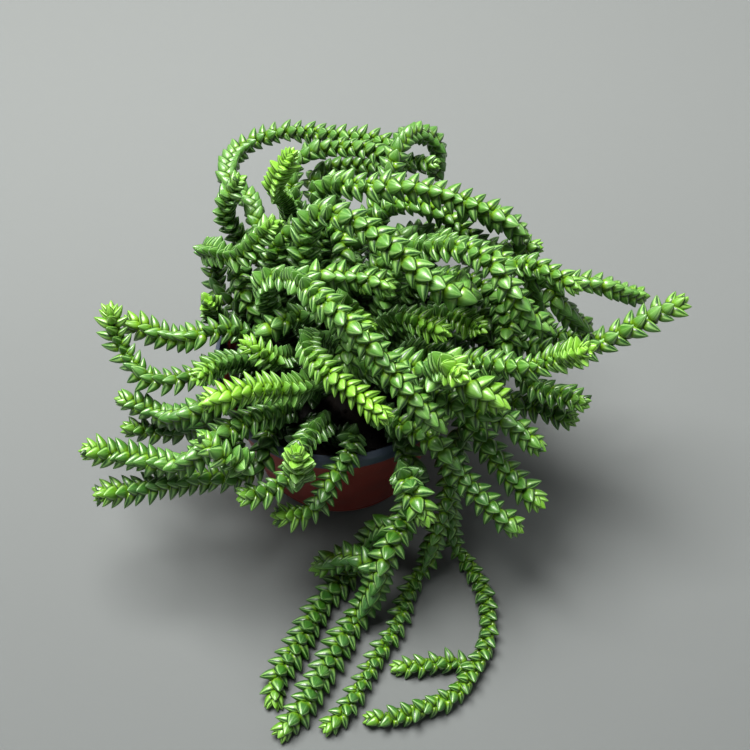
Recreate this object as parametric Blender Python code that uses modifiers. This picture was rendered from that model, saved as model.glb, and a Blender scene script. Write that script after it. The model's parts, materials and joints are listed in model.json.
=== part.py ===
"""A potted crassula: string-like stems clad in pairs of thick pointed leaves, piled over a nursery pot.

The pot stands on its base at z = 0, with the middle of its underside at the origin. +X is to the right
and -Y to the front, where three stems and a long side shoot trail over the rim, and lie along the surface
that the pot stands on.
"""

import math
import random

import bmesh
import bpy
import numpy as np
from mathutils import Matrix, Vector

MM = 0.001                    # the sizes below are millimetres, and the meshes are metres

# Pot
POT_HEIGHT = 60.0
RIM_RADIUS = 45.0
BASE_RADIUS = 32.5
WALL = 1.4
FLOOR = 1.8
COLLAR_HEIGHT = 7.0
COLLAR_STEP = 2.2             # how far the collar stands out from the body below it
COLLAR_DRAFT = 0.4            # the collar is this much wider at the lip than at its lower edge
LEDGE_RISE = 0.8              # height of the step inside the pot, where the collar starts
FOOT_HEIGHT = 2.4             # the body curves in to its base below this height
FOOT_CHAMFER = 0.8
POT_SIDES = 28
DRAIN_COUNT = 6
DRAIN_RADIUS = 3.5
DRAIN_CIRCLE = 19.0
DRAIN_SIDES = 8

# Soil
SOIL_TOP = 50.0
SOIL_DOME = 1.2               # the middle of the soil stands this much higher than its edge
SOIL_SIDES = 18
SOIL_RINGS = (0.35, 0.7)      # the dome's rings, as shares of its radius
FIT_GAP = 0.3                 # clearance between pieces that touch
HOLE_DEPTH = 5.0
FOOT_HALF = 1.15              # half the width of a stem's square foot
FOOT_RISE = 6.0               # each stem leaves the soil upright for this far

# Stems and leaves
ROOM_RADIUS = 35.0            # the stems' feet stand inside this circle
FOOT_SPACING = 6.6            # and at least about this far from each other
STEP = 4.0                    # spacing of the points along a stem's middle line
CORE_SHARE = 0.27             # half the width of a stem's core, as a share of its reach
LEAF_PITCH = 4.6              # from one pair of leaves to the next
LOW_PITCH = 7.0               # the same on the bare lower stretch
TIP_PITCH = 2.6               # the same in the bud at the tip
LEAF_LEAN = 2.6               # how far a leaf's point lies ahead of its root
RISE = 30.0                   # the leaves reach their full size this far above the soil
LOW_SHARE = 0.36              # reach of the lowest leaves, as a share of the full reach
LOW_END = 18.0                # length of the bare lower stretch
BUD = 9.0                     # length of the tip over which the leaves close up
BUD_SHARE = 0.62              # reach of the last leaves, as a share of the full reach
USUAL_REACH = 6.0             # the reach that the pitches and the lean above are for
LEAF_SHARES = (0.82, 0.7, 0.6, 0.5)   # shares of the reach that a leaf is drawn out to, as it has room
LEAF_ROOM = 0.85              # a leaf's point stays this share of another stem's reach away from it
SHOOT_ROOM = 14.0             # a side shoot may be this near to its own stem
SHOOT_REACH_SHARE = 0.75      # and its stem's leaves keep this share of its reach away from it
SHOOT_START = 2.4             # a shoot leaves its stem squarely for this far
SHOOT_SIDE = 2.5              # and only points of its route further out than this count
TURN_SPREAD = 0.25            # a stem's leaves start up to this share of a half turn off its foot's sides
SPLINE_PARTS = 12             # straight parts in each span of a smooth curve

# Settling
SETTLE_TURNS = 360
SIDE_GIVE = 0.35              # how readily stems move sideways, against along the pile's own direction
PILE = np.array([0.0, -0.574, 0.819])
HOME_PULL = 0.04              # pull back to the route at the start, which fades out
HOME_SPAN = 0.7               # after this share of the turns
PILE_FREEDOM = 0.8            # share of that pull that is left out along the pile's direction
OWN_NEIGHBOURS = 4            # points this near along one stem may be close to each other
CROWD_POWER = 0.6             # a point pushed by many neighbours moves a little more than their mean
BEND_FREE = 0.45              # how far a point may lie off its neighbours' middle before it is eased
BEND_SPAN = 0.8
SMOOTHING = (1.0, 2.0, 3.0, 2.0, 1.0)   # how a push is spread along its stem
SMOOTHING_SUM = 7.5
WALL_MIDDLE = 43.0            # radius of the middle of the pot's wall
WALL_HALF = 3.2               # half the wall's thickness, with some room
RIM_ROOM = 1.8                # more room over the rim
CLEARANCE = 0.6
RESTING_BELOW = 11.0          # the stretches of a stem laid out below this height lie on the surface
FLOOR_GAP = 0.1

# Each stem: its name, its reach (the room that it keeps around its middle line, most of which its leaves
# fill), where its foot stands in the soil (x, y), and the points on the way to its tip (x, y, z).
STEMS = [
    ("left_upturned", 5.8, (-33, -4), [(-36, -21, 72), (-48, -17, 68), (-61, -19, 62), (-66, -17, 64),
                                       (-72, -9, 68), (-77, -3, 74), (-78, 0, 82)]),
    ("left_upper", 6.2, (-24, 4), [(-33, -18, 78), (-44, -9, 74), (-55, -3, 72), (-64, 0, 74),
                                   (-72, 0, 77)]),
    ("left_shaded", 5.5, (-19, -13), [(-32, -29, 72), (-45, -29, 64), (-55, -25, 58), (-65, -21, 57),
                                      (-73, -21, 60)]),
    ("left_low", 5.5, (-25, -16), [(-35, -33, 68), (-48, -29, 58), (-59, -27, 50), (-67, -26, 50),
                                   (-72, -28, 54)]),
    ("left_bright", 7.2, (-12, -10), [(-9, -28, 88), (-16, -34, 92), (-23, -38, 93), (-31, -41, 92),
                                      (-39, -43, 90)]),
    ("centre_bright", 7.0, (-4, 4), [(-8, -11, 84), (-6, -24, 92), (-1, -34, 97), (5, -39, 98),
                                     (11, -42, 97), (17, -43, 95)]),
    ("left_long", 5.8, (-19, -23), [(-20, -32, 72), (-23, -44, 74), (-28, -51, 72), (-37, -54, 70),
                                    (-48, -53, 68), (-60, -49, 66), (-71, -46, 65), (-81, -45, 66)]),
    ("left_longer_low", 5.5, (-18, -29), [(-19, -40, 70), (-21, -50, 70), (-30, -54, 66),
                                          (-42, -52, 60), (-55, -51, 56), (-67, -52, 53),
                                          (-78, -54, 53)]),
    ("left_short", 5.5, (-26, -24), [(-23, -52, 80), (-30, -60, 82), (-38, -56, 82), (-46, -53, 84)]),
    ("left_tiny", 5.0, (-12, -32), [(-14, -49, 72), (-17, -60, 76), (-22, -62, 76), (-28, -64, 74)]),
    ("front_upturned", 6.5, (-13, -24), [(-15, -40, 72), (-14, -52, 75), (-11, -62, 80), (-10, -68, 90),
                                         (-10, -68, 100)]),
    ("front_hooked", 6.0, (-3, -32), [(2, -36, 66), (0, -44, 72), (-4, -52, 70), (-5, -56, 60),
                                     (-3, -58, 52), (-8, -62, 52), (-16, -64, 56)]),
    ("left_stub", 6.5, (-30, 6), [(-26, -6, 70), (-31, -7, 78), (-36, -6, 84), (-40, -6, 90)]),
    ("left_ribbed", 6.5, (-17, 6), [(-12, -16, 78), (-17, -19, 86), (-24, -20, 90), (-32, -22, 92)]),
    ("left_blunt", 6.0, (-27, -5), [(-29, -19, 78), (-36, -24, 84), (-43, -29, 88)]),
    ("left_inner", 5.5, (-30, 14), [(-27, 8, 64), (-29, 9, 70), (-32, 10, 76)]),
    ("back_loop", 5.2, (-17, 24), [(-24, 22, 92), (-27, 27, 96), (-34, 38, 94), (-39, 50, 90),
                                   (-42, 64, 86), (-41, 78, 82), (-36, 87, 80), (-28, 92, 80),
                                   (-16, 93, 81), (-4, 89, 82), (8, 87, 83), (20, 81, 86)]),
    ("back_right_hook", 5.6, (6, 32), [(16, 44, 92), (20, 60, 96), (23, 74, 92), (29, 83, 90),
                                       (36, 86, 84), (39, 86, 76), (38, 86, 66)]),
    ("back_row_high", 5.4, (-10, 30), [(-18, 56, 90), (-15, 70, 88), (-5, 78, 86), (6, 78, 86),
                                       (16, 75, 88), (22, 66, 92)]),
    ("back_row_low", 5.2, (-2, 34), [(-11, 61, 82), (-6, 77, 76), (6, 82, 74), (18, 79, 76),
                                     (28, 79, 80), (34, 78, 78)]),
    ("top_bright", 7.0, (-26, 16), [(-22, 23, 84), (-25, 22, 102), (-23, 24, 112), (-21, 26, 118),
                                    (-18, 28, 124), (-15, 29, 130)]),
    ("back_short", 5.2, (-24, 26), [(-27, 25, 82), (-28, 27, 94), (-32, 38, 98), (-31, 45, 102)]),
    ("left_loop", 5.2, (-34, 13), [(-32, 34, 78), (-33, 39, 86), (-39, 37, 84), (-43, 32, 82),
                                   (-41, 24, 82), (-35, 20, 85), (-29, 17, 92), (-25, 16, 99),
                                   (-21, 15, 106), (-18, 13, 114)]),
    ("left_back_fall", 5.6, (-29, 20), [(-31, 34, 72), (-32, 22, 80), (-28, 12, 84), (-23, 7, 84),
                                        (-17, 7, 82)]),
    ("inner_fall", 5.6, (-11, 13), [(-4, 4, 78), (-5, 2, 88), (-11, 1, 91), (-17, -3, 89),
                                    (-18, -9, 84)]),
    ("crest_left", 5.8, (-19, 15), [(-16, 18, 90), (-17, 21, 112), (-11, 17, 114), (-5, 11, 113),
                                    (0, 6, 111), (4, 2, 107), (7, 1, 101)]),
    ("crest_long", 5.8, (-12, 6), [(-13, 14, 80), (-15, 15, 102), (-9, 7, 106), (-4, -2, 106),
                                   (0, -9, 104), (6, -15, 102), (11, -20, 100), (16, -26, 98),
                                   (21, -31, 95), (26, -35, 91), (31, -39, 87), (36, -44, 80)]),
    ("crest_large", 7.6, (-7, 17), [(-12, 16, 104), (-9, 16, 120), (-2, 12, 124), (6, 8, 125),
                                    (12, 2, 124), (17, -2, 122), (22, -6, 119), (27, -9, 115),
                                    (32, -10, 110), (38, -9, 104), (43, -6, 97), (49, -3, 90)]),
    ("crest_high", 6.6, (2, 24), [(-6, 36, 100), (-6, 36, 112), (4, 30, 117), (12, 28, 118),
                                  (21, 28, 118), (28, 29, 116), (36, 30, 112), (43, 30, 108),
                                  (50, 31, 104), (58, 32, 101), (63, 33, 99)]),
    ("shade_high", 5.8, (10, 24), [(15, 41, 90), (25, 36, 96), (33, 30, 98), (41, 27, 97),
                                   (48, 25, 95), (55, 25, 93), (62, 24, 92), (68, 24, 91)]),
    ("right_long", 6.0, (18, 20), [(26, 26, 90), (36, 20, 98), (43, 14, 101), (50, 10, 102),
                                   (57, 7, 101), (62, 3, 100), (67, 0, 99), (74, -1, 98),
                                   (82, -2, 97), (91, -2, 96), (103, -1, 95)]),
    ("right_crest", 6.4, (12, 12), [(21, 13, 96), (26, 11, 108), (31, 3, 111), (37, -2, 111),
                                    (44, -4, 109), (50, -7, 107), (55, -10, 105), (60, -14, 103),
                                    (69, -16, 99)]),
    ("shade_back", 5.4, (2, 13), [(9, 25, 82), (15, 29, 92), (24, 28, 95), (37, 25, 93)]),
    ("shade_mid", 5.2, (5, 15), [(3, 30, 78), (6, 28, 88), (11, 22, 88), (14, 20, 82)]),
    ("shade_low", 5.2, (6, 5), [(13, 14, 70), (18, 16, 76), (27, 19, 76)]),
    ("rib_a", 7.4, (2, -2), [(9, -1, 80), (13, -5, 92), (19, -10, 98), (26, -14, 98)]),
    ("rib_b", 8.2, (11, 0), [(23, -3, 78), (26, -4, 90), (33, -11, 96), (40, -17, 97)]),
    ("rib_c", 7.4, (18, -2), [(36, -3, 76), (40, -5, 86), (45, -11, 90), (50, -15, 90)]),
    ("right_big", 8.0, (10, -9), [(22, -6, 76), (30, -20, 86), (37, -31, 90), (43, -37, 91),
                                  (51, -40, 89)]),
    ("right_fall", 6.0, (26, 8), [(49, 1, 88), (54, -9, 96), (57, -15, 94), (58, -18, 88),
                                  (56, -20, 80), (53, -22, 72)]),
    ("right_reach", 6.6, (25, 2), [(44, -5, 76), (51, -11, 80), (58, -18, 86), (67, -21, 88),
                                   (75, -20, 89), (83, -19, 90), (91, -17, 92), (99, -13, 94),
                                   (106, -11, 97), (113, -10, 101)]),
    ("right_low_bright", 6.4, (20, -10), [(47, -19, 76), (56, -24, 82), (63, -28, 90), (70, -29, 96),
                                          (75, -32, 103), (79, -35, 110)]),
    ("right_drop", 6.4, (27, -7), [(39, -10, 71), (51, -15, 72), (59, -20, 72), (67, -21, 74), (73, -25, 76),
                                   (82, -31, 76)]),
    ("right_shaded", 5.8, (34, -6), [(38, -17, 68), (51, -14, 68), (58, -16, 64), (65, -18, 60),
                                      (73, -21, 58), (81, -25, 57)]),
    ("right_back", 5.6, (31, 1), [(39, 5, 74), (49, 2, 78), (59, -2, 78), (70, -4, 78), (81, -5, 76),
                                  (92, -6, 76)]),
    ("fork_short", 6.0, (17, -16), [(39, -22, 70), (47, -30, 74), (55, -35, 73), (60, -38, 71),
                                    (67, -43, 69)]),
    ("fork_long", 7.0, (12, -17), [(39, -22, 66), (44, -31, 72), (47, -36, 70), (50, -40, 66),
                                   (54, -43, 62), (57, -47, 58), (62, -51, 54), (68, -54, 50)]),
    ("front_right", 6.5, (24, -19), [(29, -33, 80), (32, -45, 80), (36, -50, 72), (41, -50, 63),
                                     (47, -52, 56), (53, -56, 51), (61, -62, 46)]),
    ("shade_right", 5.6, (24, -14), [(45, -12, 76), (51, -18, 78), (54, -21, 72)]),
    ("trail_main", 6.8, (15, -32), [(25, -38, 66), (31, -46, 66), (29, -52, 56), (24, -56, 43),
                                    (18, -59, 31), (13, -64, 20), (8, -72, 12),
                                    (4, -79, 9), (1, -87, 8), (-3, -95, 8), (-7, -102, 8),
                                    (-10, -108, 8), (-13, -114, 8), (-17, -120, 8)]),
    ("trail_right", 5.6, (29, -20), [(37, -31, 66), (35, -43, 66), (36, -49, 50), (37, -51, 32),
                                     (36, -53, 18), (33, -57, 9), (28, -65, 6), (24, -73, 6),
                                     (19, -81, 6), (15, -89, 6), (10, -96, 6), (5, -104, 6),
                                     (1, -110, 6), (-6, -116, 6)]),
    ("trail_loop", 5.4, (30, -14), [(40, -24, 69), (43, -37, 66), (42, -45, 46), (41, -49, 28),
                                    (42, -51, 12), (46, -54, 7), (51, -61, 6), (54, -68, 6),
                                    (55, -76, 6), (55, -84, 6), (53, -92, 6), (49, -98, 6),
                                    (44, -104, 6), (39, -108, 6), (32, -112, 6), (26, -115, 6),
                                    (19, -117, 6), (12, -117, 6)]),
    ("back_drape_left", 5.6, (-13, 29), [(-15, 44, 70), (-17, 56, 66), (-18, 66, 52), (-18, 71, 38),
                                         (-17, 74, 24)]),
    ("back_drape_middle", 5.6, (7, 32), [(9, 46, 70), (11, 58, 66), (13, 66, 52), (14, 70, 36)]),
    ("back_drape_right", 5.6, (22, 26), [(30, 38, 70), (39, 50, 67), (47, 59, 54), (52, 63, 40)]),
    ("right_drape", 5.6, (29, 12), [(40, 21, 71), (56, 22, 66), (64, 26, 54), (67, 28, 38)]),
]

# Each side shoot: the stem it grows from, its reach, and the points that it passes through.
SHOOTS = [
    ("crest_long", 5.6, [(4, -10, 112), (10, -10, 112), (16, -10, 110)]),
    ("crest_long", 5.6, [(0, -17, 104), (0, -22, 101), (1, -26, 97), (3, -27, 90)]),
    ("crest_high", 5.0, [(48, 31, 101), (52, 31, 97), (55, 31, 93)]),
    ("right_long", 5.4, [(65, 3, 105), (70, 4, 107), (77, 4, 109)]),
    ("right_long", 5.6, [(73, -4, 93), (79, -6, 90), (85, -8, 87)]),
    ("right_long", 5.6, [(64, -2, 93), (68, -2, 88), (73, -3, 83)]),
    ("right_big", 7.0, [(38, -32, 97), (40, -33, 103), (43, -34, 109)]),
    ("trail_main", 6.0, [(29, -52, 75), (28, -58, 79), (28, -63, 74), (29, -65, 66)]),
    ("trail_main", 5.6, [(8, -59, 18), (2, -61, 17), (-5, -63, 16)]),
    ("trail_main", 5.6, [(17, -54, 36), (14, -53, 22), (9, -57, 10), (3, -65, 6), (-2, -75, 6),
                         (-6, -83, 6), (-10, -92, 6), (-14, -100, 6), (-17, -108, 6),
                         (-21, -115, 6)]),
    ("trail_loop", 5.2, [(43, -98, 6), (37, -98, 6), (31, -98, 6), (24, -98, 6)]),
]

POT_COLOUR = (0.075, 0.022, 0.017, 1.0)
SOIL_COLOUR = (0.012, 0.009, 0.007, 1.0)
LEAF_COLOUR = (0.10, 0.26, 0.035, 1.0)
SEED = 11


def clear_scene():
    for item in list(bpy.data.objects):
        bpy.data.objects.remove(item, do_unlink=True)


def new_collection(name):
    group = bpy.data.collections.new(name)
    bpy.context.scene.collection.children.link(group)
    return group


def new_material(name, colour, roughness):
    material = bpy.data.materials.new(name)
    material.use_nodes = True
    shader = material.node_tree.nodes["Principled BSDF"]
    shader.inputs["Base Color"].default_value = colour
    shader.inputs["Roughness"].default_value = roughness
    shader.inputs["Metallic"].default_value = 0.0
    return material


def object_from(bm, name, group, material=None):
    """Turn a bmesh in millimetres into an object in metres."""
    bmesh.ops.scale(bm, vec=(MM, MM, MM), verts=bm.verts)
    mesh = bpy.data.meshes.new(name)
    bm.to_mesh(mesh)
    bm.free()
    item = bpy.data.objects.new(name, mesh)
    group.objects.link(item)
    if material:
        mesh.materials.append(material)
    return item


def turned(name, profile, sides, group, material):
    """A closed turned body from its profile (radius, height), which starts and ends on the axis."""
    bm = bmesh.new()
    verts = [bm.verts.new((radius, 0.0, height)) for radius, height in profile]
    for first, second in zip(verts, verts[1:]):
        bm.edges.new((first, second))
    item = object_from(bm, name, group, material)
    screw = item.modifiers.new("turn", "SCREW")
    screw.steps = sides
    screw.render_steps = sides
    screw.use_merge_vertices = True
    screw.merge_threshold = 0.0001
    return item


def cut(item, cutter):
    """Cut the cutter's shape out of the item."""
    cutter.hide_render = True
    cutter.display_type = "WIRE"
    boolean = item.modifiers.new("cut " + cutter.name, "BOOLEAN")
    boolean.operation = "DIFFERENCE"
    boolean.object = cutter


def inner_radius(height):
    """Radius of the pot's inside wall at a height, below the collar."""
    collar_foot = POT_HEIGHT - COLLAR_HEIGHT
    share = height / collar_foot
    return BASE_RADIUS + (RIM_RADIUS - COLLAR_STEP - BASE_RADIUS) * share - WALL


def build_pot(group, cutters):
    """The pot: a tapered body with a flat base and drain holes, and a deep collar with a rounded lip."""
    collar_foot = POT_HEIGHT - COLLAR_HEIGHT
    body_top = RIM_RADIUS - COLLAR_STEP
    lip = 0.5 * WALL
    profile = [
        (0.0, FLOOR),
        (inner_radius(FLOOR), FLOOR),
        (inner_radius(collar_foot), collar_foot),
        (RIM_RADIUS - WALL - COLLAR_DRAFT, collar_foot + LEDGE_RISE),
        (RIM_RADIUS - WALL, POT_HEIGHT - lip),
        (RIM_RADIUS - lip, POT_HEIGHT),
        (RIM_RADIUS, POT_HEIGHT - lip),
        (RIM_RADIUS - COLLAR_DRAFT, collar_foot),
        (body_top, collar_foot),
        (BASE_RADIUS + FOOT_CHAMFER, FOOT_HEIGHT),
        (BASE_RADIUS, FOOT_CHAMFER),
        (BASE_RADIUS - FOOT_CHAMFER, 0.0),
        (0.0, 0.0),
    ]
    pot = turned("pot", profile, POT_SIDES, group, new_material("pot plastic", POT_COLOUR, 0.35))
    bm = bmesh.new()
    for turn in range(DRAIN_COUNT):
        angle = math.tau * (turn + 0.5) / DRAIN_COUNT
        place = Matrix.Translation((DRAIN_CIRCLE * math.cos(angle), DRAIN_CIRCLE * math.sin(angle), 0.0))
        bmesh.ops.create_cone(bm, cap_ends=True, segments=DRAIN_SIDES, radius1=DRAIN_RADIUS,
                              radius2=DRAIN_RADIUS, depth=4.0 * FLOOR, matrix=place)
    cut(pot, object_from(bm, "drain_holes", cutters))


def soil_height(radius):
    """Height of the soil's top at a distance from the pot's axis."""
    return SOIL_TOP + SOIL_DOME * math.cos(0.5 * math.pi * min(1.0, radius / inner_radius(SOIL_TOP)))


def build_soil(group, cutters, feet):
    """The soil: it fills the pot, with a shallow dome on top and a square hole for each stem's foot."""
    bottom = FLOOR + FIT_GAP
    edge = inner_radius(SOIL_TOP) - FIT_GAP
    profile = [(0.0, soil_height(0.0))]
    for share in SOIL_RINGS:
        profile.append((share * edge, soil_height(share * edge)))
    profile += [(edge, soil_height(edge)), (inner_radius(bottom) - FIT_GAP, bottom), (0.0, bottom)]
    soil = turned("soil", profile, SOIL_SIDES, group, new_material("potting soil", SOIL_COLOUR, 0.95))
    bm = bmesh.new()
    width = 2.0 * (FOOT_HALF + FIT_GAP)
    for foot_x, foot_y in feet:
        place = Matrix.Translation((foot_x, foot_y, SOIL_TOP)) @ Matrix.Diagonal(
            (width, width, 2.0 * HOLE_DEPTH, 1.0))
        bmesh.ops.create_cube(bm, size=1.0, matrix=place)
    cut(soil, object_from(bm, "stem_holes", cutters))


def resampled(points, step):
    """Points at an even step along a polyline, its two ends kept."""
    lengths = np.linalg.norm(np.diff(points, axis=0), axis=1)
    travel = np.concatenate([[0.0], np.cumsum(lengths)])
    count = max(2, int(round(travel[-1] / step)))
    stops = np.linspace(0.0, travel[-1], count + 1)
    return np.column_stack([np.interp(stops, travel, points[:, axis]) for axis in range(3)])


def smooth_route(points, step):
    """A smooth curve through the points (Catmull-Rom), as points at an even step."""
    points = np.asarray(points, dtype=float)
    ends = np.vstack([2 * points[0] - points[1], points, 2 * points[-1] - points[-2]])
    curve = []
    for before, start, end, after in zip(ends, ends[1:], ends[2:], ends[3:]):
        for share in np.linspace(0.0, 1.0, SPLINE_PARTS, endpoint=False):
            curve.append(0.5 * (2 * start + (end - before) * share
                                + (2 * before - 5 * start + 4 * end - after) * share ** 2
                                + (3 * start - before - 3 * end + after) * share ** 3))
    curve.append(points[-1])
    return resampled(np.array(curve), step)


def smooth_step(value):
    value = min(1.0, max(0.0, value))
    return value * value * (3.0 - 2.0 * value)


def reach_at(travel, length, full, is_shoot):
    """Reach of a stem at a distance along it: small near the soil, and closing up at the tip."""
    rise = 1.0 if is_shoot else LOW_SHARE + (1.0 - LOW_SHARE) * smooth_step(travel / RISE)
    bud = BUD_SHARE + (1.0 - BUD_SHARE) * smooth_step((length - travel) / BUD)
    return float(full * rise * bud)


def lay_out():
    """The middle line of each stem and shoot before settling, as a list of dictionaries."""
    strands = []
    for name, full, foot, route in STEMS:
        foot_height = soil_height(math.hypot(*foot))
        start = [(foot[0], foot[1], foot_height), (foot[0], foot[1], foot_height + FOOT_RISE)]
        strands.append({"name": name, "reach": full, "points": smooth_route(start + route, STEP),
                        "stem": None})
    for parent_name, full, route in SHOOTS:
        parent = next(i for i, strand in enumerate(strands) if strand["name"] == parent_name)
        line = strands[parent]["points"]
        away = np.linalg.norm(line - np.array(route[0], dtype=float), axis=1)
        at = max(2, int(away.argmin()) - 1)
        points = smooth_route([line[at]] + route, STEP)
        strands.append({"name": parent_name, "reach": full, "points": points, "stem": parent, "at": at})
    return strands


def settle(strands):
    """Push the stems apart where their leaves would meet, and keep them off the floor, soil and pot."""
    counts = [len(strand["points"]) for strand in strands]
    starts = np.cumsum([0] + counts)
    points = np.vstack([strand["points"] for strand in strands])
    home = points.copy()
    owner = np.repeat(np.arange(len(strands)), counts)
    order = np.concatenate([np.arange(count) for count in counts])
    reach = np.array([reach_at(STEP * i, STEP * (count - 1), strand["reach"], strand["stem"] is not None)
                      for strand, count in zip(strands, counts) for i in range(count)])
    room = np.hypot(reach, 0.5 * STEP)
    need = room[:, None] + room[None, :] + CLEARANCE
    same = owner[:, None] == owner[None, :]
    may_meet = same & (np.abs(order[:, None] - order[None, :]) <= OWN_NEIGHBOURS)
    for index, strand in enumerate(strands):
        if strand["stem"] is None:
            continue
        near_fork = int(SHOOT_ROOM / STEP)
        fork = starts[strand["stem"]] + strand["at"]
        shoot = slice(starts[index], starts[index] + near_fork)
        stem = slice(max(starts[strand["stem"]], fork - near_fork), fork + near_fork)
        may_meet[shoot, stem] = True
        may_meet[stem, shoot] = True
    grounded = np.array([strand["stem"] is None for strand in strands])[owner]
    foot = grounded & (order == 0)
    need[np.outer(foot, foot)] = FOOT_SPACING
    need[may_meet | np.tri(len(points), dtype=bool)] = 0.0
    shin = grounded & (order == 1)
    free = ~(grounded & (order < 3))
    resting = home[:, 2] < RESTING_BELOW
    for turn in range(SETTLE_TURNS):
        push = crowding(points, need)
        push = along_smoothed(push, starts)
        tangent = np.gradient(points, axis=0)
        tangent /= np.linalg.norm(tangent, axis=1, keepdims=True)
        push -= (push * tangent).sum(axis=1, keepdims=True) * tangent
        points = points + push
        pull = HOME_PULL * max(0.0, 1.0 - turn / (HOME_SPAN * SETTLE_TURNS))
        back = home - points
        points += pull * (back - PILE_FREEDOM * (back @ PILE)[:, None] * PILE)
        points = straightened(points, starts)
        points = kept_clear(points, room, foot, free)
        points[resting, 2] = LEAF_SHARES[0] * reach[resting] + FLOOR_GAP
        radius = np.hypot(points[foot, 0], points[foot, 1])
        points[foot, :2] *= np.minimum(1.0, ROOM_RADIUS / radius)[:, None]
        points[foot, 2] = home[foot, 2]
        points[shin, :2] = points[foot, :2]
        points[shin, 2] = home[foot, 2] + STEP
        for index, strand in enumerate(strands):
            if strand["stem"] is not None:
                points[starts[index]] = points[starts[strand["stem"]] + strand["at"]]
    for index, strand in enumerate(strands):
        strand["points"] = points[starts[index]:starts[index + 1]]
        strand["room"] = reach[starts[index]:starts[index + 1]]
    return strands


def crowding(points, need):
    """How far each point has to move to leave its neighbours the room they need."""
    square = (points ** 2).sum(axis=1)
    apart = square[:, None] + square[None, :] - 2.0 * points @ points.T
    first, second = np.nonzero(apart < need ** 2)
    away = points[first] - points[second]
    distance = np.maximum(0.05, np.linalg.norm(away, axis=1))
    unit = away / distance[:, None]
    lean = SIDE_GIVE * unit + (1.0 - SIDE_GIVE) * (unit @ PILE)[:, None] * PILE
    share = (need[first, second] - distance) / (2.0 * (lean * unit).sum(axis=1))
    moves = lean * share[:, None]
    push = np.zeros_like(points)
    np.add.at(push, first, moves)
    np.add.at(push, second, -moves)
    crowd = np.bincount(np.concatenate([first, second]), minlength=len(points))
    return push / np.maximum(1.0, crowd)[:, None] ** CROWD_POWER


def along_smoothed(push, starts):
    """Spread each push over its neighbours along the same stem, so that stems bend and don't kink."""
    smoothed = push.copy()
    for start, end in zip(starts, starts[1:]):
        part = np.pad(push[start:end], ((2, 2), (0, 0)), mode="edge")
        count = end - start
        total = sum(weight * part[offset:offset + count] for offset, weight in enumerate(SMOOTHING))
        smoothed[start:end] = total / SMOOTHING_SUM
    return smoothed


def straightened(points, starts):
    """Ease the sharpest bends."""
    eased = points.copy()
    for start, end in zip(starts, starts[1:]):
        part = points[start:end]
        middle = 0.5 * (part[:-2] + part[2:]) - part[1:-1]
        bend = np.linalg.norm(middle, axis=1)
        share = np.clip((bend - BEND_FREE) / BEND_SPAN, 0.0, 0.5)
        eased[start + 1:end - 1] += share[:, None] * middle
    return eased


def kept_clear(points, room, foot, free):
    """Move points out of the floor, the soil and the pot's wall."""
    points = points.copy()
    radius = np.maximum(1.0, np.hypot(points[:, 0], points[:, 1]))
    beside = radius - WALL_MIDDLE
    above = points[:, 2] - np.clip(points[:, 2], 0.0, POT_HEIGHT + RIM_ROOM - WALL_HALF)
    distance = np.maximum(0.05, np.hypot(beside, above))
    short = np.where(foot, 0.0, np.maximum(0.0, WALL_HALF + room + CLEARANCE - distance))
    points[:, :2] *= (1.0 + short * beside / distance / radius)[:, None]
    points[:, 2] += short * above / distance
    inside = free & (radius < WALL_MIDDLE)
    lowest = np.where(inside, SOIL_TOP + SOIL_DOME, 0.0) + room + FIT_GAP
    points[:, 2] = np.where(free, np.maximum(points[:, 2], lowest), points[:, 2])
    return points


def ring_stops(length, full, is_shoot):
    """Distances along a stem at which its rings lie, closer together towards the tip."""
    stops = [0.0]
    while stops[-1] < length - 0.6 * TIP_PITCH:
        travel = stops[-1]
        pitch = LEAF_PITCH if is_shoot or travel > LOW_END else LOW_PITCH
        pitch = TIP_PITCH + (pitch - TIP_PITCH) * smooth_step((length - travel) / (2.0 * BUD))
        stops.append(travel + pitch * math.sqrt(full / USUAL_REACH))
    return np.array(stops) * (length / stops[-1])


def frames_along(line, first_side):
    """Tangent and two side vectors at each point of a line, carried along without twisting."""
    tangents = np.gradient(line, axis=0)
    tangents /= np.linalg.norm(tangents, axis=1, keepdims=True)
    side = Vector(first_side)
    frames = []
    for tangent in tangents:
        tangent = Vector(tangent)
        side = (side - side.dot(tangent) * tangent).normalized()
        frames.append((tangent, side.copy(), tangent.cross(side)))
    return frames


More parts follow.
